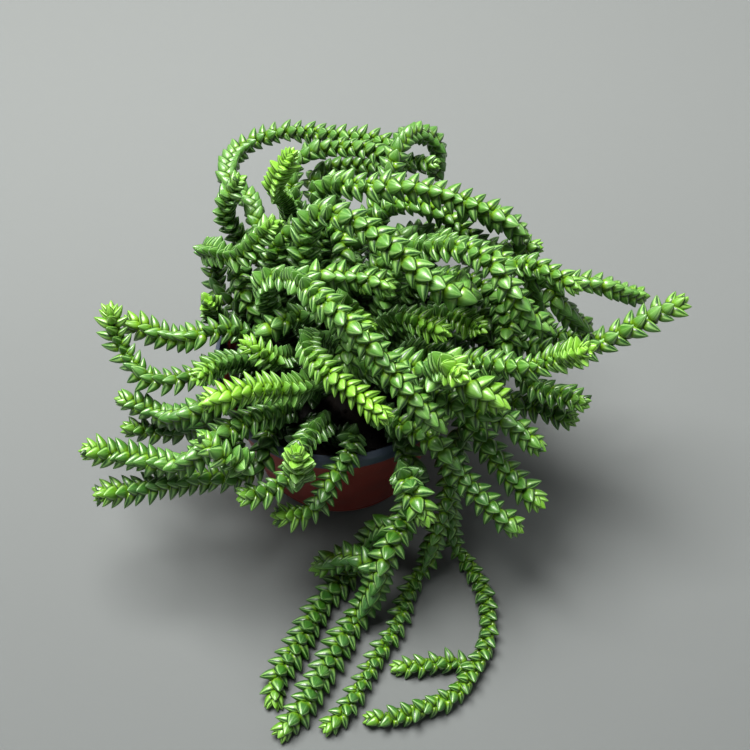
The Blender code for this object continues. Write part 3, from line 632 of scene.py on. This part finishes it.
def pairs_of(strand):
    """Distance from the tip of each pair of leaves, first at the tip."""
    bare = BARE_FOOT if strand["number"] == 0 else BARE_FORK
    pitch = habit(strand).pitch * MM
    stops = [FIRST_PAIR]
    while stops[-1] < strand["stops"][-1] - bare:
        close = TIP_PITCH + (1.0 - TIP_PITCH) * smooth_step(stops[-1] / TIP_SPAN)
        stops.append(stops[-1] + pitch * float(close))
    return stops


for strand in strands:
    strand["pairs"] = pairs_of(strand)
print("pairs of leaves:", sum(len(strand["pairs"]) for strand in strands))

# %% [markdown]
# Each leaf gets a matrix that stretches, turns and moves the one leaf to its place. It is drawn a little
# uneven, because no two leaves are alike: it turns up to 11 degrees aside, leans up to 9 degrees more or
# less, and is between an eighth shorter and a twelfth longer. Leaves are smaller at the tip, at the foot and
# inside a tight bend, and thinner where pairs stand close. None starts out longer than LONGEST times the
# reach of the solid's leaves. A leaf is also shortened, to 0.64 of its length at the least, if its point
# would come near the floor or the middle line of another stem.

# %% Choose how the leaves vary
LONGEST = 1.35
THICKNESS = 0.95
CLOSE_PITCH = 0.36
BEND_EASE = 0.9
TIP_SIZE = 0.58
TIP_SPREAD = 28.0
TIP_NARROW = 0.08
OPENING_CURVE = 0.7
LOW_SPAN = 26.0 * MM
LOW_SIZE = 0.62
# painted shade in the heap fades out over this length up from a main stem's foot
SHADE_SPAN = 55.0 * MM
ROOT_OUT = 0.09
FACING_PLAY = (-0.2, 0.2)
LEAN_PLAY = (-0.15, 0.13)
LENGTH_PLAY = (0.88, 1.08)
WIDTH_PLAY = (0.94, 1.08)
SHORTER = (1.0, 0.88, 0.76, 0.64)
FLOOR_CLEAR = 0.3 * MM
CROWD_STEP = 4
CROWD_SHARE = 0.5

# %% Place every leaf
LEAF_SEED = 23
draw = random.Random(LEAF_SEED)


def clear_share(root, heading, long, crowd, room):
    """The share of its length at which a leaf's point keeps clear, or the last share that is tried."""
    for share in SHORTER:
        tip = np.array(root + share * long * heading)
        if tip[2] > FLOOR_CLEAR and (np.linalg.norm(crowd - tip, axis=1) > room).all():
            break
    return share


def leaf_places(strand, crowd, room):
    """A matrix, a youth, a share of painted shade and a chance for each leaf of a strand."""
    grown = habit(strand)
    thick_share = THICKNESS * min(1.0, grown.pitch / grown.long / CLOSE_PITCH)
    leaf_length = min(grown.long * MM, LONGEST * strand["reach"])
    fine, stops = strand["fine"], strand["stops"]
    tangents, sides, normals = strand["frames"]
    bends = np.gradient(tangents, axis=0) / np.gradient(stops)[:, None]
    length = stops[-1]
    placed = []
    for turn, from_tip in enumerate(strand["pairs"]):
        at = min(len(fine) - 1, int(round((length - from_tip) / length * (len(fine) - 1))))
        centre, tangent = Vector(fine[at]), Vector(tangents[at])
        side, normal = Vector(sides[at]), Vector(normals[at])
        opening = float(smooth_step(from_tip / TIP_SPAN))
        size = TIP_SIZE + (1.0 - TIP_SIZE) * math.sqrt(opening)
        if strand["number"] == 0:
            size *= LOW_SIZE + (1.0 - LOW_SIZE) * float(smooth_step((length - from_tip) / LOW_SPAN))
        angle = math.radians(TIP_SPREAD + (grown.spread - TIP_SPREAD) * opening ** OPENING_CURVE)
        roll = strand["roll"] + (turn % 2) * math.pi / 2.0
        youth = brightness_of(strand) * max(0.0, 1.0 - from_tip / (grown.fresh * MM))
        # painted shade, deepest at a main stem's foot, down in the heap
        depth_shade = max(0.0, 1.0 - (length - from_tip) / SHADE_SPAN) if strand["number"] == 0 else 0.0
        for half in (0.0, math.pi):
            facing = roll + half + draw.uniform(*FACING_PLAY)
            out = math.cos(facing) * side + math.sin(facing) * normal
            lean = angle + draw.uniform(*LEAN_PLAY)
            heading = (math.sin(lean) * out + math.cos(lean) * tangent).normalized()
            inside = max(0.0, Vector(bends[at]).dot(out) * leaf_length)
            long = leaf_length * size * draw.uniform(*LENGTH_PLAY) / (1.0 + BEND_EASE * inside)
            root = centre + ROOT_OUT * leaf_length * size * out
            share = clear_share(root, heading, long, crowd, room)
            across = heading.cross(tangent).normalized()
            upper = across.cross(heading).normalized()
            wide = long * grown.wide * draw.uniform(*WIDTH_PLAY) * (1.0 - TIP_NARROW * (1.0 - opening))
            stretch = Matrix((across * wide, heading * long * share, upper * long * thick_share)).transposed()
            placed.append((Matrix.Translation(root) @ stretch.to_4x4(), youth, depth_shade, draw.random()))
    return placed


for strand in strands:
    rivals = [other for other in strands if other is not strand]
    crowd = np.vstack([other["fine"][::CROWD_STEP] for other in rivals])
    room = np.concatenate([np.full(len(other["fine"][::CROWD_STEP]), CROWD_SHARE * other["reach"])
                           for other in rivals])
    strand["leaves"] = leaf_places(strand, crowd, room)
print("leaves:", sum(len(strand["leaves"]) for strand in strands), "in", round(time.time() - clock, 1), "s")

# %% [markdown]
# Under its leaves a stem is a juicy green rod, 2.5 to 3.6 mm thick here. A curve with a round bevel follows
# the middle line, and is turned into a mesh. The leaves are copies of the one leaf, each with its own mesh,
# and everything on one stem is joined into one piece, which takes the place of the stem's CAD solid.

# %% Make the rods
ROD_SHARE = 0.26
ROD_STEP = 3
ROD_END = 0.35
ROD_TAPER = 5.0
leaf_slot = bpy.data.materials.new("leaf place")
stem_slot = bpy.data.materials.new("stem place")
leaf.data.materials.append(leaf_slot)
leaf.data.materials.append(stem_slot)


def make_rod(strand):
    """The rod inside the leaves, as a mesh with the leaf's attributes."""
    curve = bpy.data.curves.new("rod", "CURVE")
    curve.dimensions = "3D"
    curve.bevel_depth = ROD_SHARE * habit(strand).long * MM
    curve.bevel_resolution = 1
    curve.use_fill_caps = True
    line = strand["fine"][::ROD_STEP]
    spline = curve.splines.new("POLY")
    spline.points.add(len(line) - 1)
    for index, (point, place) in enumerate(zip(spline.points, line)):
        point.co = (*place, 1.0)
        point.radius = ROD_END + (1.0 - ROD_END) * float(smooth_step((len(line) - 1 - index) / ROD_TAPER))
    rod = bpy.data.objects.new("rod", curve)
    bpy.context.scene.collection.objects.link(rod)
    select_only(rod)
    bpy.ops.object.convert(target="MESH")
    rod = bpy.context.object
    foot, tip = Vector(strand["fine"][0]), Vector(strand["fine"][-1])
    fresh = habit(strand).fresh * MM
    youth = [brightness_of(strand) * max(0.0, 1.0 - (vert.co - tip).length / fresh)
             for vert in rod.data.vertices]
    # painted shade, deepest at a main stem's foot, down in the heap
    depth_shade = [0.0 if strand["number"] else max(0.0, 1.0 - (vert.co - foot).length / SHADE_SPAN)
           for vert in rod.data.vertices]
    for name, values in (("across", 0.0), ("along", 0.0), ("youth", youth), ("depth_shade", depth_shade), ("chance", 0.5)):
        note = rod.data.attributes.new(name, "FLOAT", "POINT")
        note.data.foreach_set("value", np.broadcast_to(np.float32(values), len(youth)).copy())
    rod.data.materials.append(leaf_slot)
    rod.data.materials.append(stem_slot)
    for face in rod.data.polygons:
        face.use_smooth = True
        face.material_index = 1
    return rod


# %% Copy the leaves and join each stem
NEAR_FLOOR = 8.0 * MM
REST_GAP = 0.06 * MM
FLAT_SHARE = 0.01


def leaf_copy(place, youth, depth_shade, own_chance):
    """The leaf at its place with its notes. What would dip into the floor is flattened on it."""
    mesh = leaf.data.copy()
    mesh.transform(place)
    if place.translation.z < NEAR_FLOOR:
        for vert in mesh.vertices:
            vert.co.z = max(vert.co.z, REST_GAP + FLAT_SHARE * vert.co.z)
    for name, value in (("youth", youth), ("depth_shade", depth_shade), ("chance", own_chance)):
        note = mesh.attributes.new(name, "FLOAT", "POINT")
        note.data.foreach_set("value", np.full(len(mesh.vertices), value, np.float32))
    copy = bpy.data.objects.new("leaf_copy", mesh)
    bpy.context.scene.collection.objects.link(copy)
    return copy


pieces = {}
for name in dict.fromkeys(strand["stem"] for strand in strands):
    mine = [strand for strand in strands if strand["stem"] == name]
    rods = [make_rod(strand) for strand in mine]
    copies = [leaf_copy(*place) for strand in mine for place in strand["leaves"]]
    select_only(copies[0])
    for item in copies[1:] + rods:
        item.select_set(True)
    bpy.ops.object.join()
    piece = bpy.context.object
    piece.name = "leafy_" + name
    piece.data.name = piece.name
    pieces[name] = piece
bpy.data.objects.remove(leaf, do_unlink=True)
triangles = [sum(len(face.vertices) - 2 for face in piece.data.polygons) for piece in pieces.values()]
print("triangles in all:", sum(triangles), "and at most", max(triangles), "in a piece,",
      round(time.time() - clock, 1), "s")

# %% [markdown]
# ## Materials
# Each finish is a tree of nodes on object coordinates or on the attributes. Three effects are used by more
# than one material, so each is a node group with named sockets: the waxy skin and the painted shade deep in
# the heap on leaf and stem, and the specks of dust on plastic and soil. First come small helpers, so that a
# tree reads as a list of steps. Noise scales are in waves per metre, so 1000 gives a grain of about a
# millimetre.

# %% Helpers for node trees
def add_node(tree, kind, **settings):
    node = tree.nodes.new(kind)
    for name, value in settings.items():
        setattr(node, name, value)
    return node


def feed(tree, socket, value):
    """Wire a socket to another socket, or set it to a plain value."""
    if isinstance(value, bpy.types.NodeSocket):
        tree.links.new(value, socket)
    else:
        socket.default_value = value


def noise(tree, vector, scale, detail=3.0, rough=0.55):
    node = add_node(tree, "ShaderNodeTexNoise")
    for name, value in (("Vector", vector), ("Scale", scale), ("Detail", detail), ("Roughness", rough)):
        feed(tree, node.inputs[name], value)
    return node.outputs["Fac"]


def ramp(tree, value, low, high, to_low=0.0, to_high=1.0):
    """Map a value smoothly from low..high to to_low..to_high."""
    node = add_node(tree, "ShaderNodeMapRange", interpolation_type="SMOOTHSTEP")
    for name, number in (("Value", value), ("From Min", low), ("From Max", high),
                         ("To Min", to_low), ("To Max", to_high)):
        feed(tree, node.inputs[name], number)
    return node.outputs["Result"]


def blend(tree, share, first, second, kind="MIX"):
    """Mix two colours by a share."""
    node = add_node(tree, "ShaderNodeMix", data_type="RGBA", blend_type=kind)
    for index, value in ((0, share), (6, first), (7, second)):
        feed(tree, node.inputs[index], value)
    return node.outputs[2]


def calculate(tree, kind, first, second=0.0):
    node = add_node(tree, "ShaderNodeMath", operation=kind)
    feed(tree, node.inputs[0], first)
    feed(tree, node.inputs[1], second)
    return node.outputs[0]


def attribute(tree, name):
    return add_node(tree, "ShaderNodeAttribute", attribute_name=name).outputs["Fac"]


def separate(tree, vector):
    node = add_node(tree, "ShaderNodeSeparateXYZ")
    feed(tree, node.inputs["Vector"], vector)
    return node.outputs


# %% Helpers for materials
def new_material(name):
    """A material with its tree, its shader, and the place of each point on the object."""
    material = bpy.data.materials.new(name)
    material.use_nodes = True
    tree = material.node_tree
    place = add_node(tree, "ShaderNodeTexCoord").outputs["Object"]
    return material, tree, tree.nodes["Principled BSDF"], place


def finish_shader(tree, shader, colour, roughness, **plain_values):
    """Feed colour and roughness to the shader, and set plain values on its own sockets."""
    feed(tree, shader.inputs["Base Color"], colour)
    feed(tree, shader.inputs["Roughness"], roughness)
    for name, value in plain_values.items():
        shader.inputs[name.replace("_", " ")].default_value = value


def add_bump(tree, shader, height, distance, strength=1.0):
    bump = add_node(tree, "ShaderNodeBump")
    for name, value in (("Height", height), ("Distance", distance), ("Strength", strength)):
        feed(tree, bump.inputs[name], value)
    feed(tree, shader.inputs["Normal"], bump.outputs["Normal"])


# %% Helpers for node groups
SOCKETS = {"Colour": "NodeSocketColor", "Second Colour": "NodeSocketColor", "Vector": "NodeSocketVector"}


def new_group(name, inputs, outputs):
    """A node group, its tree ready to fill: the sockets of its input and output nodes by name."""
    tree = bpy.data.node_groups.new(name, "ShaderNodeTree")
    for side, names in (("INPUT", inputs), ("OUTPUT", outputs)):
        for socket in names:
            kind = SOCKETS.get(socket, "NodeSocketFloat")
            tree.interface.new_socket(name=socket, in_out=side, socket_type=kind)
    return tree, add_node(tree, "NodeGroupInput").outputs, add_node(tree, "NodeGroupOutput").inputs


def use_group(tree, group, **values):
    node = add_node(tree, "ShaderNodeGroup", node_tree=group)
    for name, value in values.items():
        feed(tree, node.inputs[name.replace("_", " ")], value)
    return node.outputs


# %% [markdown]
# A succulent's skin is smooth wax with fine pits in it. The wax has broad patches of a second green and a
# finer pale drift, which also dulls the gloss, and the pits are a bump. Both leaf and stem need it. A chance
# number shifts the patches, so that neighbouring leaves differ.

# %% Group: waxy skin
PATCH_SCALE = 70.0
PIT_SCALE = 2600.0
STREAK_SCALE = 700.0
CHANCE_SHIFT = 0.35
WAX = (0.50, 0.62, 0.30, 1.0)
SKIN_BUMP = 0.10 * MM
SKIN_BUMP_STRENGTH = 0.6

waxy_skin, given, made = new_group("waxy skin", ("Vector", "Colour", "Second Colour", "Chance", "Gloss"),
                                   ("Colour", "Roughness", "Height"))
patches = noise(waxy_skin, given["Vector"], PATCH_SCALE)
pits = noise(waxy_skin, given["Vector"], PIT_SCALE, 2.0)
streaks = noise(waxy_skin, given["Vector"], STREAK_SCALE, 3.0, 0.6)
drift = calculate(waxy_skin, "MULTIPLY", given["Chance"], CHANCE_SHIFT)
shifted = calculate(waxy_skin, "ADD", patches, drift)
colour = blend(waxy_skin, ramp(waxy_skin, shifted, 0.45, 0.90), given["Colour"], given["Second Colour"])
colour = blend(waxy_skin, ramp(waxy_skin, streaks, 0.35, 0.75, 0.0, 0.18), colour, WAX, "OVERLAY")
dulling = ramp(waxy_skin, streaks, 0.3, 0.7, 0.0, 0.16)
feed(waxy_skin, made["Colour"], colour)
feed(waxy_skin, made["Roughness"], calculate(waxy_skin, "ADD", given["Gloss"], dulling))
feed(waxy_skin, made["Height"], calculate(waxy_skin, "ADD", pits, streaks))
print("waxy skin:", len(waxy_skin.nodes), "nodes")

# %% [markdown]
# Painted shade darkens the leaves and stretches of stem down at the soil, deep in the heap. Leaf and stem are
# shaded alike.

# %% Group: painted shade in the heap
# painted shade: the dark green that leaves and stem fade towards deep in the heap
HEAP_SHADE_GREEN = (0.014, 0.040, 0.010, 1.0)

painted_heap_shade, given, made = new_group("painted_heap_shade", ("Colour", "Age"), ("Colour",))
shade_share = ramp(painted_heap_shade, given["Age"], 0.0, 0.9, 0.0, 0.85)
feed(painted_heap_shade, made["Colour"], blend(painted_heap_shade, shade_share, given["Colour"], HEAP_SHADE_GREEN))
print("ageing:", len(painted_heap_shade.nodes), "nodes")

# %% [markdown]
# The leaf adds its own markings, and some painted light. Fresh leaves are yellow-green, and so is the root of
# each. A pale sheen lies down the middle of its outer part: partly a painted highlight and partly a pale wax
# bloom that differs from leaf to leaf, and painted light makes it strongest high on the heap. Fine pale and
# dark streaks run along it. Inside each margin is a pale line, partly a painted highlight along the rim, and
# along the margin itself a thin dark one.

# %% The leaf's first colours and sheen
OLD_GREEN = (0.026, 0.112, 0.004, 1.0)
BLUE_GREEN = (0.018, 0.085, 0.016, 1.0)
YOUNG_GREEN = (0.185, 0.400, 0.010, 1.0)
ROOT_GREEN = (0.180, 0.330, 0.012, 1.0)
# pale wax bloom and painted highlight, laid over the leaf's outer part
BLOOM_AND_PAINTED_SHEEN = (0.280, 0.540, 0.120, 1.0)
SHADED_HEIGHT = 45.0 * MM
LIT_HEIGHT = 105.0 * MM

leaf_material, tree, shader, place = new_material("crassula leaf")
youth, across, along, own = (attribute(tree, name) for name in ("youth", "across", "along", "chance"))
skin = use_group(tree, waxy_skin, Vector=place, Colour=OLD_GREEN, Second_Colour=BLUE_GREEN, Chance=own,
                 Gloss=0.36)
colour = blend(tree, ramp(tree, youth, 0.0, 0.9, 0.0, 0.85), skin["Colour"], YOUNG_GREEN)
colour = blend(tree, ramp(tree, along, 0.05, 0.48, 0.8, 0.0), colour, ROOT_GREEN)
outer = ramp(tree, along, 0.12, 0.45)
# painted highlight down the middle of the leaf's outer part
painted_sheen = calculate(tree, "MULTIPLY", ramp(tree, across, 0.2, 0.9, 0.24, 0.03), outer)
milky = calculate(tree, "MULTIPLY", ramp(tree, own, 0.45, 1.0, 0.0, 0.16), outer)
# painted light: the pale sheen is a quarter as strong low in the heap and full high on it
painted_light_by_height = ramp(tree, separate(tree, place)["Z"], SHADED_HEIGHT, LIT_HEIGHT, 0.25, 1.0)
# painted highlight and wax bloom, both raised by the painted light high on the heap
pale = calculate(tree, "MULTIPLY", calculate(tree, "ADD", painted_sheen, milky), painted_light_by_height)
colour = blend(tree, pale, colour, BLOOM_AND_PAINTED_SHEEN)

# %% The leaf's streaks, margins and shader
DARK_EDGE = (0.006, 0.030, 0.006, 1.0)
PALE_LINE = (0.400, 0.620, 0.220, 1.0)
STREAK_ALONG = 0.12
STREAK_STEP = 40.0
# this scale counts waves across half a leaf, not per metre
STREAK_COUNT = 5.0

way = add_node(tree, "ShaderNodeCombineXYZ")
feed(tree, way.inputs["X"], across)
feed(tree, way.inputs["Y"], calculate(tree, "MULTIPLY", along, STREAK_ALONG))
feed(tree, way.inputs["Z"], calculate(tree, "MULTIPLY", own, STREAK_STEP))
streak = noise(tree, way.outputs["Vector"], STREAK_COUNT, 2.0, 0.6)
pale_streak = calculate(tree, "MULTIPLY", ramp(tree, streak, 0.52, 0.72, 0.0, 0.24), outer)
colour = blend(tree, pale_streak, colour, PALE_LINE)
colour = blend(tree, ramp(tree, streak, 0.30, 0.46, 0.30, 0.0), colour, DARK_EDGE)
# a pale line inside the margin, partly a painted highlight along the rim
line = calculate(tree, "MULTIPLY", ramp(tree, across, 0.70, 0.80), ramp(tree, across, 0.82, 0.92, 0.42, 0.0))
colour = blend(tree, calculate(tree, "MULTIPLY", line, outer), colour, PALE_LINE)
colour = blend(tree, ramp(tree, across, 0.88, 0.98, 0.0, 0.85), colour, DARK_EDGE)
# painted shade deep in the heap, near the soil
colour = use_group(tree, painted_heap_shade, Colour=colour, Age=attribute(tree, "depth_shade"))["Colour"]
finish_shader(tree, shader, colour, skin["Roughness"], Subsurface_Weight=0.10,
              Subsurface_Radius=(0.5, 1.0, 0.15), Subsurface_Scale=1.0 * MM,
              Coat_Weight=0.38, Coat_Roughness=0.22)
add_bump(tree, shader, calculate(tree, "ADD", skin["Height"], streak), SKIN_BUMP, SKIN_BUMP_STRENGTH)
print(leaf_material.name, len(tree.nodes), "nodes")

# %% The stem's rod
STEM_GREEN = (0.105, 0.270, 0.020, 1.0)
STEM_SHADE = (0.060, 0.150, 0.016, 1.0)

stem_material, tree, shader, place = new_material("crassula stem")
skin = use_group(tree, waxy_skin, Vector=place, Colour=STEM_GREEN, Second_Colour=STEM_SHADE, Chance=0.5,
                 Gloss=0.34)
colour = blend(tree, ramp(tree, attribute(tree, "youth"), 0.0, 0.9), skin["Colour"], YOUNG_GREEN)
# painted shade deep in the heap, near the soil
colour = use_group(tree, painted_heap_shade, Colour=colour, Age=attribute(tree, "depth_shade"))["Colour"]
finish_shader(tree, shader, colour, skin["Roughness"], Coat_Weight=0.10)
add_bump(tree, shader, skin["Height"], SKIN_BUMP, SKIN_BUMP_STRENGTH)
for piece in pieces.values():
    piece.data.materials[0], piece.data.materials[1] = leaf_material, stem_material
print(stem_material.name, len(tree.nodes), "nodes")

# %% [markdown]
# Dust settles on plastic and soil as fine pale specks, over a colour that drifts a little from place to
# place. The group puts out a colour with the specks in it, a roughness and a height. The pot's body is
# coloured dark red-brown and its collar slate blue-grey.

# %% Group: dusty specks
CLOUD_SCALE = 60.0
DUST = (0.30, 0.27, 0.24, 1.0)

dusty_specks, given, made = new_group(
    "dusty specks", ("Vector", "Colour", "Second Colour", "Scale", "Dust", "Gloss"),
    ("Colour", "Roughness", "Height"))
cloud = noise(dusty_specks, given["Vector"], CLOUD_SCALE)
speck = noise(dusty_specks, given["Vector"], given["Scale"], 2.0)
colour = blend(dusty_specks, ramp(dusty_specks, cloud, 0.35, 0.7), given["Colour"], given["Second Colour"])
amount = calculate(dusty_specks, "MULTIPLY", ramp(dusty_specks, speck, 0.62, 0.76), given["Dust"])
dulling = ramp(dusty_specks, cloud, 0.3, 0.7, 0.0, 0.12)
feed(dusty_specks, made["Colour"], blend(dusty_specks, amount, colour, DUST))
feed(dusty_specks, made["Roughness"], calculate(dusty_specks, "ADD", given["Gloss"], dulling))
feed(dusty_specks, made["Height"], speck)
print("dusty specks:", len(dusty_specks.nodes), "nodes")

# %% The pot's body and collar colours
BODY_RED = (0.200, 0.042, 0.034, 1.0)
BODY_PALE = (0.265, 0.058, 0.046, 1.0)
COLLAR_SLATE = (0.060, 0.080, 0.118, 1.0)
COLLAR_PALE = (0.080, 0.100, 0.140, 1.0)
PLASTIC_GRAIN = 1100.0
COLLAR_FROM = 52.95


def moulded_plastic(name, base, tint, gloss, dust, **plain_values):
    material, tree, shader, place = new_material(name)
    finish = use_group(tree, dusty_specks, Vector=place, Colour=base, Second_Colour=tint, Scale=PLASTIC_GRAIN,
                       Dust=dust, Gloss=gloss)
    finish_shader(tree, shader, finish["Colour"], finish["Roughness"], **plain_values)
    add_bump(tree, shader, finish["Height"], 0.10 * MM, 0.25)
    return material


pot.data.materials.append(moulded_plastic("pot body plastic", BODY_RED, BODY_PALE, 0.40, 0.30,
                                          Specular_IOR_Level=0.35))
pot.data.materials.append(moulded_plastic("pot collar plastic", COLLAR_SLATE, COLLAR_PALE, 0.38, 0.22))
for face in pot.data.polygons:
    face.material_index = 1 if face.center.z > COLLAR_FROM * MM else 0
print("collar faces:", sum(face.material_index for face in pot.data.polygons))

# %% The soil's finish
PEAT = (0.004, 0.003, 0.0025, 1.0)
BARK = (0.016, 0.010, 0.006, 1.0)
SOIL_SPECKS = 520.0
SOIL_LUMPS = 420.0

soil_material, tree, shader, place = new_material("potting soil")
finish = use_group(tree, dusty_specks, Vector=place, Colour=PEAT, Second_Colour=BARK, Scale=SOIL_SPECKS,
                   Dust=0.10, Gloss=0.80)
finish_shader(tree, shader, finish["Colour"], finish["Roughness"])
add_bump(tree, shader, noise(tree, place, SOIL_LUMPS, 6.0, 0.7), 0.6 * MM, 0.8)
soil.data.materials.clear()
soil.data.materials.append(soil_material)
print(soil_material.name, len(tree.nodes), "nodes")

# %% [markdown]
# ## Stage and light
# A round floor that curves up into a pale wall shows no horizon from any side. Its tone is graded: painted
# shade darkens it in front of the plant, and painted light makes it paler far away. One large soft lamp
# stands high above the plant, a little behind it and to its left, so the leaves shine and the inside of the
# heap stays in shade. Two weak lamps, at the right and in front, fill the shade a little. The view's look
# adds contrast.

# %% The floor
FLOOR_SIDES = 96
# painted shade darkens the floor in front, and painted light makes the far floor and wall pale
FLOOR_PAINTED_SHADE = (0.104, 0.111, 0.110, 1.0)
FLOOR_BACK = (0.160, 0.169, 0.166, 1.0)
FLOOR_PAINTED_LIGHT = (0.800, 0.820, 0.815, 1.0)
COVE = [(2170, 2600), (2160, 1400), (2120, 600), (2000, 300), (1800, 120), (1500, 25), (1101, 0.001),
        (1100, 0)]

select_nothing()
bpy.ops.mesh.primitive_circle_add(vertices=FLOOR_SIDES, radius=COVE[0][0] * MM, fill_type="NOTHING",
                                  location=(0.0, 0.0, COVE[0][1] * MM))
floor = bpy.context.object
floor.name = "pale_floor"
bpy.ops.object.transform_apply(location=True, rotation=False, scale=False)
bpy.ops.object.mode_set(mode="EDIT")
bpy.ops.mesh.select_all(action="SELECT")
for start, end in zip(COVE, COVE[1:]):
    extrude_to(start, end)
bpy.ops.mesh.edge_face_add()
bpy.ops.object.mode_set(mode="OBJECT")
for face in floor.data.polygons:
    face.use_smooth = len(face.vertices) == 4
floor_material, tree, shader, place = new_material("pale floor")
away = add_node(tree, "ShaderNodeVectorMath", operation="LENGTH")
feed(tree, away.inputs[0], place)
# painted shade towards the front, painted light further away
colour = blend(tree, ramp(tree, separate(tree, place)["Y"], -0.30, 0.30), FLOOR_PAINTED_SHADE, FLOOR_BACK)
colour = blend(tree, ramp(tree, away.outputs["Value"], 0.30, 1.70), colour, FLOOR_PAINTED_LIGHT)
finish_shader(tree, shader, colour, 0.85)
floor.data.materials.append(floor_material)
print("floor faces:", len(floor.data.polygons))

# %% Lamps and air
# each lamp: its name, its place and size in metres, its power in watts and its colour
LAMPS = [("window_light", (-0.22, 0.14, 1.12), 0.70, 33.0, (1.0, 0.99, 0.97)),
         ("side_light", (0.95, 0.25, 0.75), 0.5, 1.4, (0.95, 0.98, 1.0)),
         ("front_light", (-0.3, -0.95, 0.7), 0.5, 0.9, (0.95, 0.98, 1.0))]
AIR_COLOUR = (0.86, 0.90, 0.94, 1.0)
AIR_STRENGTH = 0.045

for name, place, size, power, colour in LAMPS:
    bpy.ops.object.light_add(type="AREA", location=place)
    lamp = bpy.context.object
    lamp.name = name
    lamp.data.shape = "DISK"
    lamp.data.size = size
    lamp.data.energy = power
    lamp.data.color = colour
    lamp.rotation_mode = "QUATERNION"
    lamp.rotation_quaternion = (Vector(RIM_MIDDLE) - Vector(place)).to_track_quat("-Z", "Y")
world = bpy.data.worlds.new("soft air")
bpy.context.scene.world = world
world.use_nodes = True
world.node_tree.nodes["Background"].inputs["Color"].default_value = AIR_COLOUR
world.node_tree.nodes["Background"].inputs["Strength"].default_value = AIR_STRENGTH
bpy.context.scene.view_settings.view_transform = "Standard"
bpy.context.scene.view_settings.look = "Medium High Contrast"
print("lamps:", len(LAMPS))

# %% [markdown]
# ## Give the pieces to the frame
# Nothing moves on this object, so every piece rides on the one body, root. The pot, the soil and each fine
# stem replace the CAD node that they stand for.

# %% Ride and replace
for piece, nodes, slot in [(pot, ["pot"], "pot"), (soil, ["soil"], "soil")] + [
        (piece, [name], "leaf") for name, piece in pieces.items()]:
    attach(piece, "root")
    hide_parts(*nodes)

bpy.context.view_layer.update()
print("made in", round(time.time() - clock, 1), "s")
